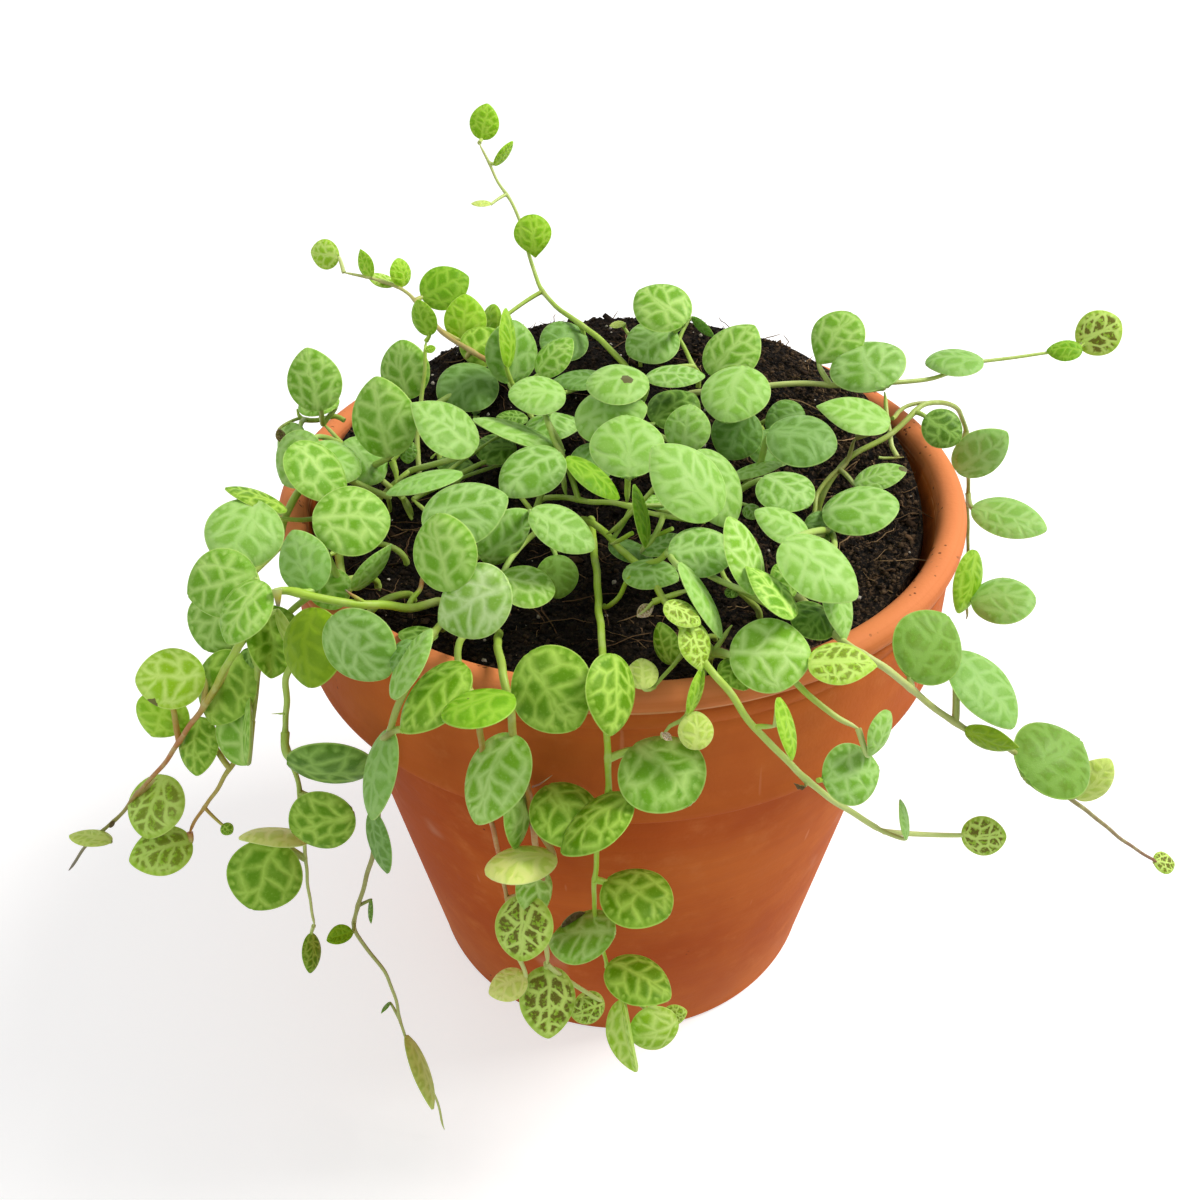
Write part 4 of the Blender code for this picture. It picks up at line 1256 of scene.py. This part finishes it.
grow(
    "front_right_vine",
    thick=1.4,
    tip=1.05,
    stem=("lime", "lime", "pale"),
    route=[
        (-6.5, -12, 98), (-4.5, -17.5, 101.5), (-1, -26, 103), (3, -34, 104), (5, -41, 104.5),
        (9.5, -54.5, 105), (12.5, -57, 102), (15, -58, 98), (18.5, -58.5, 94), (22.5, -58, 88.5),
        (27.5, -57, 82.5), (35, -56, 75.5),
    ],
    branches=[
        (1.2, 0.9, [
            (15.5, -51.5, 105), (19.5, -53.5, 102.5), (23, -55.5, 100), (26, -57, 98),
            (28.5, -58, 97),
        ]),
        (1, 1, [(3.5, -40.5, 104), (6, -40.5, 105), (8.5, -40.5, 106)]),
        (0.8, 0.9, [(1, -30, 108), (-2, -27.5, 104.5)]),
        (0.8, 0.8, [(6.5, -30.5, 109), (4, -28, 106)]),
        (0.9, 0.8, [(23.5, -61.5, 91.5), (24.5, -60.5, 90.5), (25.5, -59, 89.5)]),
        (0.9, 0.8, [(15.5, -59.5, 99), (16.5, -60, 99.5), (17.5, -61, 100.5)]),
    ],
    leaves=[
        Leaf(5.5, -26.5, 103.5, 5, 210, 80, "mature", "long", -10),
        Leaf(3.5, -35, 104.5, 7, 170, 85, "mature", "egg", 15),
        Leaf(18.5, -62, 101, 5.5, 345, 30, "lime", "long", 65),
        Leaf(28, -60, 91, 8, 295, 45, "mature", "round", -5),
        Leaf(37, -57, 79, 4, 340, 25, "grey", "long", -35),
        Leaf(50, -54, 72, 6, 250, 25, "spotted", "round", 15),
        Leaf(31, -58.5, 96.5, 6, 315, 10, "hazy", "spoon", 5),
        Leaf(2.5, -41, 103, 1.8, 265, 40, "husk", "withered", 175),
        Leaf(22, -58.5, 87.5, 1, 270, -10, "dry", "withered", -30),
    ],
)


# ---------------------------------------------------------------- the vines at the front
# Two stems that hang straight down the pot's face, in one piece with their leaves. The upper
# leaves are deep green with clear pale veins, and the last ones are young and blotched brown.

grow(
    "front_left_vine",
    thick=1.4,
    tip=0.6,
    stem=("lime", "green", "red", "red", "pale"),
    route=[
        (-21, -35, 96.5), (-22, -48, 103), (-21, -53, 102.5), (-19, -56, 100), (-19, -57, 96),
        (-19, -57, 84), (-18, -56, 68.5), (-17, -55, 47.5),
    ],
    branches=[
        (1.5, 1, [
            (-18, -36, 95.5), (-17, -46, 101), (-16, -53, 102.5), (-15, -56, 99), (-14.5, -57, 92),
            (-13.5, -56.5, 84), (-13, -56, 75.5), (-12.5, -55.5, 65.5), (-12.5, -55, 53),
            (-12.5, -56, 46.5),
        ]),
        (0.4, 0.3, [(-12.5, -61, 90.5), (-11.5, -60.5, 90.5), (-10, -59.5, 91)], "brown"),
    ],
    leaves=[
        Leaf(-24, -58, 103, 9.5, 205, 60, "deep", "egg", -15),
        Leaf(-18, -63, 106, 9.5, 120, 75, "apple", "wide", -85, (0.1, 0.1, 0.02)),
        Leaf(-17, -61, 92, 10.5, 215, 50, "bright", "egg", -65),
        Leaf(-15, -57, 81.5, 8.5, 340, 10, "fresh", "egg", -115),
        Leaf(-14.5, -63, 78, 10, 105, 70, "lit", "wide", -110),
        Leaf(-13.5, -57, 65, 6.5, 320, 35, "bright", "egg", -65),
        Leaf(-15, -61, 62, 9, 245, 50, "spotted", "round", -40),
        Leaf(-18.5, -58, 44, 5.5, 230, 80, "lit", "egg", -40),
        Leaf(-12.5, -59, 41, 9, 300, 50, "spotted", "egg", -35),
        Leaf(-6.5, -54.5, 32.5, 5.5, 295, 35, "spotted", "round", -125),
    ],
)

grow(
    "front_centre_vine",
    thick=1.6,
    tip=0.7,
    stem=("lime", "lime"),
    route=[
        (-5, -10, 97), (-4.5, -16, 98), (-4, -30.5, 99.5), (-3.5, -44, 102), (-3.5, -53, 103),
        (-3, -56.5, 101), (-3, -57, 94), (-3, -58, 85), (-4.5, -58, 74.5), (-5, -57, 63),
        (-4, -56, 50), (-2.5, -56, 41),
    ],
    branches=[
        (0.9, 0.9, [
            (-3, -33.5, 98), (-2.5, -35, 99), (-1, -35.5, 101), (0, -35.5, 103.5), (0.5, -36, 105),
        ]),
    ],
    leaves=[
        Leaf(-9.5, -59, 105, 10.5, 245, 40, "deep", "round", 120),
        Leaf(-2.5, -61, 106, 8.5, 325, 30, "deep", "egg", 80),
        Leaf(4, -60, 91.5, 11.5, 260, 75, "fresh", "wide", -30),
        Leaf(-8.5, -60, 84, 9.5, 295, 75, "deep", "round", 100),
        Leaf(-4.5, -64, 86.5, 9.5, 175, 60, "deep", "egg", -55),
        Leaf(1, -60, 67, 11, 20, 85, "deep", "wide", -10),
        Leaf(-7, -59, 57, 9.5, 175, 65, "bright", "egg", -60),
        Leaf(1.5, -59, 46, 9.5, 30, 80, "deep", "egg", 5),
        Leaf(4, -58, 32, 8.5, 280, 20, "spring", "wide", -110),
        Leaf(0, -59.5, 32.5, 9, 200, 15, "spring", "folded", 30),
        Leaf(-8, -56, 56.5, 4.5, 295, 0, "dry", "wide", -10),
        Leaf(7.5, -55, 31, 3.6, 275, 35, "dotted", "egg", 50),
    ],
)


# ---------------------------------------------------------------- the vines on the left
# Stems that spill over the rim and spread to the left, in one piece with their leaves. Their
# ends are thin and crooked, and one has lost nearly all its leaves.

grow(
    "left_long_vine",
    thick=1.7,
    tip=0.6,
    stem=("pale", "lime", "lime", "lime", "red", "red", "olive", "dry"),
    route=[
        (-26.5, -30, 96.5), (-30, -36, 100), (-33, -38.5, 102.5), (-36, -40, 104), (-41, -41, 106),
        (-45.5, -41, 107), (-48, -41.5, 105.5), (-51, -42, 101), (-58, -41, 90), (-63.5, -39, 81.5),
        (-71, -37, 71), (-80, -36, 60), (-86, -37, 54.5), (-92, -37, 47),
    ],
    branches=[
        (0.8, 0.7, [(-35, -39.5, 103.5), (-36, -40, 105), (-37.5, -39.5, 106)]),
        (1, 0.8, [(-30.5, -35, 99.5), (-30, -34.5, 100.5), (-29, -31.5, 100), (-29, -28.5, 100.5)]),
        (1.9, 1.8, [(-45.5, -42.5, 108.5), (-45.5, -43, 107.5), (-45.5, -43.5, 106.5)]),
    ],
    leaves=[
        Leaf(-43, -37, 109, 7.5, 255, 35, "grey", "egg", 20),
        Leaf(-54, -38.5, 106.5, 9.5, 265, 35, "fresh", "round", 55),
        Leaf(-50, -43.5, 105.5, 8, 235, 55, "fresh", "egg", -10),
        Leaf(-49.5, -38, 96, 8.5, 320, 40, "deep", "folded", -105),
        Leaf(-65, -38, 89.5, 9, 305, 55, "spring", "round", 45, (-0.4, 0.3, 0.1)),
        Leaf(-58, -37, 86.5, 10, 250, 35, "deep", "egg", -170),
        Leaf(-69.5, -35, 79.5, 8, 265, 5, "sunny", "egg", 100),
        Leaf(-74, -37, 62, 9.5, 255, 55, "dotted", "round", -65),
        Leaf(-85, -39, 57, 5, 60, 70, "pale", "long", -75),
        Leaf(-82, -37, 58, 1.2, 330, 0, "dry", "round", 25),
        Leaf(-46, -40, 98.5, 6, 220, 0, "pale", "long", 5),
    ],
)

grow(
    "left_second_vine",
    thick=1.4,
    tip=0.7,
    stem=("green", "green", "red"),
    route=[
        (-37, -25, 97), (-41, -32, 101.5), (-47.5, -34, 98), (-52, -36, 92), (-54, -38, 84.5),
        (-57.5, -38.5, 75.5), (-60, -41, 72.5), (-64.5, -39.5, 65.5), (-67.5, -38.5, 60.5),
        (-69.5, -38, 57),
    ],
    leaves=[
        Leaf(-41, -34, 102, 6, 280, 50, "fresh"),
        Leaf(-55.5, -39, 81.5, 10.5, 215, 30, "fresh", "folded", 165),
        Leaf(-64, -38, 76, 7.5, 240, 40, "deep", "egg", 125),
        Leaf(-62, -41, 61, 2, 300, 50, "deep"),
        Leaf(-73.5, -41, 56, 8.5, 305, 70, "dotted", "egg", -15),
        Leaf(-54, -35.5, 90, 4, 260, 35, "dark", "egg", 125),
    ],
)

grow(
    "left_hanging_vine",
    thick=1.5,
    tip=0.6,
    stem=("green", "green", "pale"),
    route=[
        (-31, -29, 97), (-34, -36, 101), (-37, -43, 101.5), (-43, -43.5, 99), (-46, -44.5, 95.5),
        (-47.5, -43.5, 89), (-49, -42, 82.5), (-50, -40, 75), (-50, -39.5, 67.5), (-52, -38, 52.5),
        (-54, -37, 31.5),
    ],
    branches=[
        (0.45, 0.3, [(-48, -43.5, 87.5), (-49, -43, 87), (-50, -43, 87)]),
    ],
    leaves=[
        Leaf(-33.5, -52, 106.5, 10, 255, 15, "mature", "round", -70),
        Leaf(-40.5, -48.5, 103.5, 10, 235, 35, "glow", "round", -55),
        Leaf(-42, -46, 80, 13.5, 270, -20, "dark", "wide", -5),
        Leaf(-46, -44, 66, 10.5, 270, 15, "deep", "wide", -135),
        Leaf(-54.5, -42, 60, 9.5, 75, 55, "lit", "egg", -15),
        Leaf(-58, -41.5, 50.5, 12, 280, 35, "deep", "wide", 50),
        Leaf(-55.5, -37.5, 24.5, 5, 345, 25, "deep", "long", -45),
    ],
)

grow(
    "left_bare_vine",
    thick=1.4,
    tip=0.5,
    stem=("green", "olive", "pale"),
    route=[
        (-26, -36, 97), (-26, -46, 102), (-28, -54, 102), (-30, -55, 97), (-33, -52, 86.5),
        (-36, -51, 71.5), (-40, -50, 57), (-43, -49, 46), (-39, -50, 35.5), (-38, -51, 23),
        (-36, -53, 15.5), (-33, -56, 7.5), (-32, -58, 2),
    ],
    branches=[
        (1.3, 1, [(-29, -55.5, 95.5), (-30, -55, 95), (-32, -54.5, 93), (-32.5, -53.5, 92)]),
    ],
    leaves=[
        Leaf(-26.5, -56, 107, 7, 190, 45, "hazy", "long", 70),
        Leaf(-32.5, -56.5, 88.5, 8.5, 205, 35, "grey", "long", -30),
        Leaf(-35, -54, 72.5, 6.5, 220, 15, "dusk", "long", -35),
        Leaf(-44.5, -52, 48.5, 3.4, 285, 80, "glow", "folded", -40),
        Leaf(-35, -56, 17, 9, 15, 20, "pale", "long", 55),
        Leaf(-41, -48, 23.5, 1.8, 160, 50, "dark", "pointed", 90),
        Leaf(-39.5, -50, 52, 2.6, 200, 20, "dark", "long", -35),
        Leaf(-28, -42.5, 100.5, 5.5, 70, 75, "dark", "wide", -170),
        Leaf(-28, -54, 106.5, 4.5, 215, 50, "dusk", "round", -150),
    ],
)


# ---------------------------------------------------------------- the crown's short shoots
# Stems a few millimetres long that stand in the soil under the thick of the leaves, each
# grown in one piece with its leaves, which overlap and look up and to the front.

grow(
    "crown_shoot_left",
    thick=1.4,
    tip=0.8,
    route=[(-34, -6, 97.5), (-38, -4, 101), (-44, 1, 104), (-48, 4, 107)],
    branches=[
        (1.1, 0.9, [
            (-45, 6, 106.5), (-46.5, 6.5, 107), (-49.5, 6, 106.5), (-52, 6, 107),
            (-52.5, 6.5, 108.5),
        ]),
        (0.9, 0.8, [(-36.5, -8, 100.5), (-37, -6.5, 97.5), (-37.5, -5.5, 95)]),
    ],
    leaves=[
        Leaf(-48, 3, 115.5, 8.5, 270, 25, "fresh", "egg", 10),
        Leaf(-48.5, 5, 110, 7, 215, 85, "fresh", "wide", 60),
        Leaf(-36.5, -4, 112.5, 11, 255, 25, "fresh", "egg", 40),
        Leaf(-50, -6.5, 106.5, 9, 245, 30, "hazy", "round", 0),
        Leaf(-45, -15.5, 109.5, 9.5, 330, 45, "fresh", "egg", 115),
        Leaf(-41, -3, 104, 8.5, 300, 45, "mature", "round", 130),
        Leaf(-53, 1.5, 104, 7.5, 235, 20, "hazy", "egg", 15),
        Leaf(-44, -9, 107.5, 8.5, 325, 60, "hazy", "round", 130),
        Leaf(-54, 0, 107, 1.6, 285, 30, "dry", "withered", 90),
    ],
)

grow(
    "crown_shoot_left_rear",
    thick=1.2,
    tip=0.8,
    route=[(-30, 5, 100), (-32, 9, 103), (-35, 12, 106)],
    branches=[
        (1.1, 0.8, [
            (-39, -5, 98), (-36.5, -3.5, 100), (-34, -2, 101.5), (-32.5, 5, 98.5),
            (-30.5, 6.5, 100),
        ]),
        (1.3, 1.2, [(-36.5, -2, 103.5), (-36, -3, 102), (-36, -4, 100.5)]),
        (1.1, 1, [(-34, 9, 102.5), (-33.5, 5.5, 100), (-33.5, 3, 97.5)]),
        (0.9, 0.9, [(-34.5, -7.5, 100), (-34, -7, 97), (-33, -8, 95)]),
    ],
    leaves=[
        Leaf(-35, 11, 113, 9, 250, 25, "fresh", "round", 15),
        Leaf(-27, -7.5, 112.5, 9.5, 320, 50, "hazy", "pointed", -70),
        Leaf(-26, 18, 106, 10.5, 285, 65, "dusk", "round", 170),
        Leaf(-34, -1, 104.5, 3.6, 240, 30, "mature", "round", 135),
        Leaf(-25, 16, 102, 4.5, 300, 65, "hazy", "long", 135),
    ],
)

grow(
    "crown_shoot_left_front",
    thick=1.4,
    tip=0.8,
    route=[(-33, -19, 96.5), (-36, -19, 99), (-40, -22, 101), (-44, -27, 102)],
    branches=[
        (1.6, 1.6, [(-42.5, -21, 99), (-42, -23.5, 97), (-39.5, -32, 99.5)]),
    ],
    leaves=[
        Leaf(-37, -32, 112, 10.5, 290, 55, "fresh", "wide", -10),
        Leaf(-35, -33, 105, 6.5, 320, -20, "hazy", "pointed", -45),
    ],
)

grow(
    "crown_shoot_edge",
    thick=1.3,
    tip=0.8,
    route=[(-45, -9, 97), (-48, -18, 103), (-52, -20, 105)],
    branches=[
        (1.5, 1.3, [(-48, -14, 106.5), (-49, -17, 105.5), (-50.5, -19, 103), (-51, -21, 100.5)]),
    ],
    leaves=[
        Leaf(-53, -29, 108, 11, 300, 60, "hazy", "round", 10),
        Leaf(-52.5, -22.5, 109.5, 6.5, 30, 60, "deep", "long", -55),
        Leaf(-59.5, -29.5, 93, 10, 260, 35, "fresh", "wide", 0),
    ],
)

grow(
    "crown_shoot_centre_left",
    thick=1.4,
    tip=0.8,
    route=[(-22, -30, 96.5), (-23, -26, 99), (-27, -18, 101), (-32, -12, 102.5)],
    leaves=[
        Leaf(-29, -18, 109, 8.5, 135, 75, "grey", "long", -90),
        Leaf(-21.5, -32, 113, 10.5, 255, 65, "mature", "egg", 15),
        Leaf(-23, -44, 115, 9.5, 245, 30, "fresh", "round", 50),
        Leaf(-19.5, -48, 110, 9.5, 240, 35, "mint", "egg", -150),
        Leaf(-16.5, -30, 108, 8.5, 310, 0, "mature", "egg", -55),
        Leaf(-20, -0.5, 104.5, 7, 285, 75, "dark", "wide", 140),
        Leaf(-26.5, -2, 102.5, 6.5, 355, 80, "dark", "wide", 120),
        Leaf(-17.5, 5, 107, 3.8, 295, 75, "dark", "long", 130),
        Leaf(-20, 1, 101.5, 4, 310, 85, "dusk", "long", 135),
    ],
)

grow(
    "crown_shoot_centre",
    thick=1.4,
    tip=0.8,
    route=[(-10, -16, 96.5), (-12, -17, 101), (-15, -12, 102), (-18, -7, 103)],
    leaves=[
        Leaf(-13.5, -17, 110, 9.5, 255, 70, "mature", "egg", 155),
        Leaf(-8.5, -35, 112, 7, 310, 60, "hazy", "long", 75),
        Leaf(-9.5, -32.5, 102.5, 6, 290, 35, "moss", "round", 15),
        Leaf(-13.5, -38, 105, 8, 320, 75, "bright", "wide", 95),
    ],
)

grow(
    "crown_shoot_rear_left",
    thick=1.3,
    tip=0.8,
    route=[(-12, 8, 101), (-15, 12, 104), (-17, 14, 106.5)],
    branches=[
        (1.1, 1.1, [
            (-12.5, 1.5, 111), (-11.5, -1.5, 110), (-10.5, -4.5, 108), (-9, -7, 107),
            (-9, -10, 105.5), (-8.5, -13, 103.5),
        ]),
    ],
    leaves=[
        Leaf(-18.5, 16, 116, 7, 345, 10, "lime", "long", -25),
        Leaf(-18, 19, 112, 10, 300, 20, "mature", "round", -5),
        Leaf(-10.5, 15, 113, 7, 225, 50, "fresh", "egg", 10),
        Leaf(-13, 0.5, 113.5, 8.5, 290, 70, "hazy", "round", -65),
        Leaf(-16, -2.5, 108, 11, 35, 65, "hazy", "long", -70),
        Leaf(-6.5, 18, 107, 7, 215, 85, "dusk", "long", 140),
        Leaf(-11, 4, 106, 8.5, 325, 90, "mature", "round", -10),
        Leaf(-10.5, 7, 104.5, 9, 120, 85, "dusk", "wide", 50),
    ],
)

grow(
    "crown_shoot_middle",
    thick=1.4,
    tip=0.8,
    route=[(-7, 2, 99), (-5, 0, 103), (-2, 1, 105), (3, 3, 106.5)],
    branches=[
        (1.1, 1.1, [(0.5, -20.5, 112), (0.5, -20, 106.5)]),
    ],
    leaves=[
        Leaf(-1.5, -4.5, 112.5, 10, 250, 60, "hazy", "egg", 55),
        Leaf(-0.5, -4, 117.5, 10, 270, 80, "hazy", "wide", -80, (-0.03, -0.14, 0.1)),
        Leaf(0.5, -20, 116, 10.5, 270, 60, "hazy", "wide", 165),
        Leaf(10, -8, 112, 7, 265, 30, "hazy", "round", 90),
        Leaf(9, 6.5, 107.5, 9, 265, 70, "dark", "round", 10),
        Leaf(-4.5, -9.5, 107, 7, 270, 60, "dusk", "round", 0),
    ],
)

grow(
    "crown_shoot_rear",
    thick=1.3,
    tip=0.8,
    route=[(14, 21, 106), (13, 20, 108.5), (12, 23, 110), (10, 26, 112)],
    leaves=[
        Leaf(7.5, 23, 118, 10, 270, 60, "fresh", "round", -30),
        Leaf(6, 24, 111, 9.5, 265, 65, "mature", "round", 0),
        Leaf(9, 7, 113, 7, 245, 85, "mature", "long", 105),
        Leaf(15, 27, 112.5, 3.8, 225, -25, "grey", "long", -10),
    ],
)

grow(
    "crown_shoot_rear_bud",
    thick=1.0,
    tip=0.7,
    route=[(4, 25, 107), (3, 26, 110), (1, 28, 113)],
    leaves=[
        Leaf(0, 25, 114, 2, 240, 75, "pale", "long", -70),
    ],
)

grow(
    "crown_shoot_rear_right",
    thick=1.3,
    tip=0.8,
    route=[(24, 10, 101.5), (21, 12, 104), (18, 12, 107)],
    leaves=[
        Leaf(19, 14, 114, 9.5, 240, 50, "fresh", "egg", -20),
        Leaf(17.5, -3, 115, 10.5, 245, 65, "hazy", "round", -30),
        Leaf(18, -4, 108.5, 8, 255, 35, "dusk", "round", -45),
        Leaf(26.5, 2.5, 107.5, 6.5, 250, 45, "dusk", "round", -145),
    ],
)

grow(
    "crown_shoot_right",
    thick=1.4,
    tip=0.8,
    route=[(3, -6, 98), (8, -18, 103), (15, -16, 104), (21, -9, 104.5)],
    branches=[
        (0.9, 0.9, [(4.5, -25, 112.5), (2, -25, 109), (-0.5, -24.5, 106), (-2.5, -23.5, 103.5)]),
    ],
    leaves=[
        Leaf(8, -31, 117, 11, 305, 50, "hazy", "egg", -60),
        Leaf(12.5, -24.5, 111.5, 10.5, 310, 45, "hazy", "egg", 115),
        Leaf(26.5, -13, 112.5, 11, 265, 75, "dusk", "wide", -5),
        Leaf(23, -23, 110, 9, 275, 80, "mature", "wide"),
        Leaf(20.5, -11.5, 106.5, 6, 140, 70, "hazy", "long", 40),
        Leaf(24, -2, 105, 8, 275, 70, "dusk"),
        Leaf(18.5, -22, 106, 2.6, 255, 60, "mature", "round", -20),
    ],
)

grow(
    "crown_shoot_right_edge",
    thick=1.3,
    tip=0.8,
    route=[(25, -21, 96.5), (29, -21, 100), (31, -21, 102)],
    leaves=[
        Leaf(33.5, -25, 108, 11, 200, 75, "mature", "wide", 35),
        Leaf(21.5, -30, 109, 7, 325, 70, "hazy", "egg", -60),
        Leaf(24, -45.5, 112.5, 10, 310, 65, "hazy", "egg", 85),
        Leaf(27, -45.5, 106.5, 7, 330, 35, "hazy", "pointed", 60),
        Leaf(28, -24.5, 104.5, 5, 290, 30, "dusk", "round", 65),
    ],
)

grow(
    "crown_shoot_front_right",
    thick=1.4,
    tip=0.8,
    route=[(19, -33, 96), (17, -35, 100), (14, -35, 103), (13, -31, 104)],
    branches=[
        (1.1, 1, [(6, -35.5, 109), (4.5, -34.5, 106.5), (2.5, -32.5, 104.5)]),
    ],
    leaves=[
        Leaf(10, -39, 111, 8, 265, 70, "mature", "egg", 155),
        Leaf(14.5, -43.5, 113.5, 7.5, 330, 35, "bright", "long", -65),
        Leaf(17.5, -48.5, 111.5, 7, 350, 55, "zest", "pointed", -115),
        Leaf(20.5, -41.5, 108, 5, 325, 45, "zest", "wide", -140),
        Leaf(14.5, -36, 102, 2, 255, 75, "dark", "round", 0),
        Leaf(9, -47.5, 109.5, 8, 0, 35, "hazy", "long", 90),
    ],
)

grow(
    "crown_shoot_front",
    thick=1.4,
    tip=0.8,
    route=[(11, -44, 97), (11, -47, 100), (14, -42, 101)],
    leaves=[
        Leaf(17.5, -53, 105, 10, 255, 60, "bright", "round", 20),
        Leaf(13.5, -53, 102, 5, 315, 75, "deep", "round", 0),
        Leaf(8, -53.5, 107, 5, 315, 40, "dotted", "pointed", 105),
        Leaf(6.5, -51.5, 110.5, 4.5, 330, 70, "dotted", "egg", 135),
    ],
)

grow(
    "crown_shoot_front_small",
    thick=1.1,
    tip=0.6,
    route=[(12, -39, 96.5), (8, -46.5, 101), (5, -52.5, 102.5), (2.5, -55, 101)],
    branches=[
        (1.1, 0.6, [
            (10, -48, 99), (8.5, -53.5, 99.5), (7, -57, 98.5), (5, -57.5, 97.5), (4, -58.5, 96.5),
        ]),
    ],
    leaves=[
        Leaf(1.5, -55, 104, 4, 265, 65, "pale", "round", -60),
        Leaf(5, -45.5, 101, 5, 220, 15, "deep", "egg", -55),
        Leaf(8, -59.5, 98.5, 4.5, 275, 45, "pale", "round", 130),
        Leaf(8, -56.5, 102.5, 4.5, 330, 5, "lime", "long", -155),
        Leaf(4.5, -59.5, 97.5, 1, 265, 45, "husk", "withered", 35),
    ],
)

grow(
    "crown_shoot_middle_low",
    thick=1.3,
    tip=0.8,
    route=[
        (-13, -9.5, 100), (-9.5, -13.5, 103.5), (-5, -18, 105.5), (-1, -21.5, 107.5),
        (4, -26, 108.5), (11, -30, 109.5),
    ],
    leaves=[
        Leaf(2, -31, 111.5, 6.5, 350, 20, "apple", "long", -90),
        Leaf(-4.5, -14, 107, 7.5, 355, 55, "apple", "long", -100),
        Leaf(5, -18.5, 105.5, 4.5, 25, 85, "hazy", "long", 135),
        Leaf(1, -24.5, 101, 6, 0, 75, "dusk", "egg", 15),
    ],
)
put_away(blades)


# ---------------------------------------------------------------- the studio
# A plain pale floor, one broad lamp over the right shoulder, a weaker one on the left, and
# soft light from all round. The camera looks down on the plant from the front.

FLOOR_SIZE = 12000.0
FLOOR_GLOW = 0.52  # lifts the pale floor to white round the object, and leaves its shadow
FAR_GLOW = 0.25  # what more the floor needs a long way off, out of the lamps' light
SKY_STRENGTH = 0.50
WHITE = (1.0, 1.0, 1.0, 1.0)


def seen_rays(wires):
    """1 for what the camera sees, straight, in a reflection or through something clear, else 0."""
    rays = wires.add("ShaderNodeLightPath").outputs
    seen = wires.maths("MAXIMUM", rays["Is Camera Ray"], rays["Is Glossy Ray"])
    return wires.maths("MAXIMUM", seen, rays["Is Transmission Ray"])


def floor_finish():
    """White to the camera and in reflections, with the object's shadow on it."""
    made, wires, shader, place = new_material("studio_floor")
    shader["Base Color"].default_value = shade(214, 214, 214)
    shader["Roughness"].default_value = 0.9
    shader["Specular IOR Level"].default_value = 0.0
    shader["Emission Color"].default_value = WHITE
    away = wires.add("ShaderNodeVectorMath", {0: place}, operation="LENGTH").outputs["Value"]
    glow = wires.maths("MULTIPLY_ADD", wires.step(away, 0.4, 1.6), FAR_GLOW, FLOOR_GLOW)
    wires.feed(shader["Emission Strength"], wires.times(seen_rays(wires), glow))
    return made


corner = FLOOR_SIZE / 2
corners = [(-corner, -corner, 0), (corner, -corner, 0), (corner, corner, 0), (-corner, corner, 0)]
floor = bpy.data.objects.new("studio_floor", outlined("studio_floor", corners, [(0, 1, 2, 3)]))
floor.data.materials.append(floor_finish())
bpy.context.scene.collection.objects.link(floor)

world = bpy.data.worlds.new("studio")
world.use_nodes = True
bpy.context.scene.world = world
sky = Wiring(world.node_tree)
background = world.node_tree.nodes["Background"]
background.inputs["Color"].default_value = WHITE
sky.feed(background.inputs["Strength"], sky.maths("MAXIMUM", seen_rays(sky), SKY_STRENGTH))


def lamp(name, place, size, power, colour):
    """A square soft lamp, in metres and watts, that looks at the middle of the plant."""
    light = bpy.data.lights.new(name, "AREA")
    light.size = size
    light.energy = power
    light.color = colour
    made = bpy.data.objects.new(name, light)
    made.location = place
    aim = Vector((0.0, 0.0, 0.08)) - Vector(place)
    made.rotation_euler = aim.to_track_quat("-Z", "Y").to_euler()
    bpy.context.scene.collection.objects.link(made)


lamp("key_lamp", place=(0.75, 0.15, 0.95), size=0.45, power=11.8, colour=(1.0, 0.98, 0.94))
lamp("fill_lamp", place=(-0.7, -0.8, 0.7), size=0.9, power=2.2, colour=(0.97, 0.99, 1.0))

camera = bpy.data.objects.new("camera", bpy.data.cameras.new("camera"))
camera.data.sensor_width = 36.0
camera.data.lens = 35.298
camera.data.clip_start = 0.01
camera.location = (-0.0036, -0.1649, 0.1998)
camera.rotation_euler = (0.9168, 0.0109, -0.0083)
bpy.context.scene.collection.objects.link(camera)
bpy.context.scene.camera = camera
bpy.context.scene.view_settings.view_transform = "Standard"
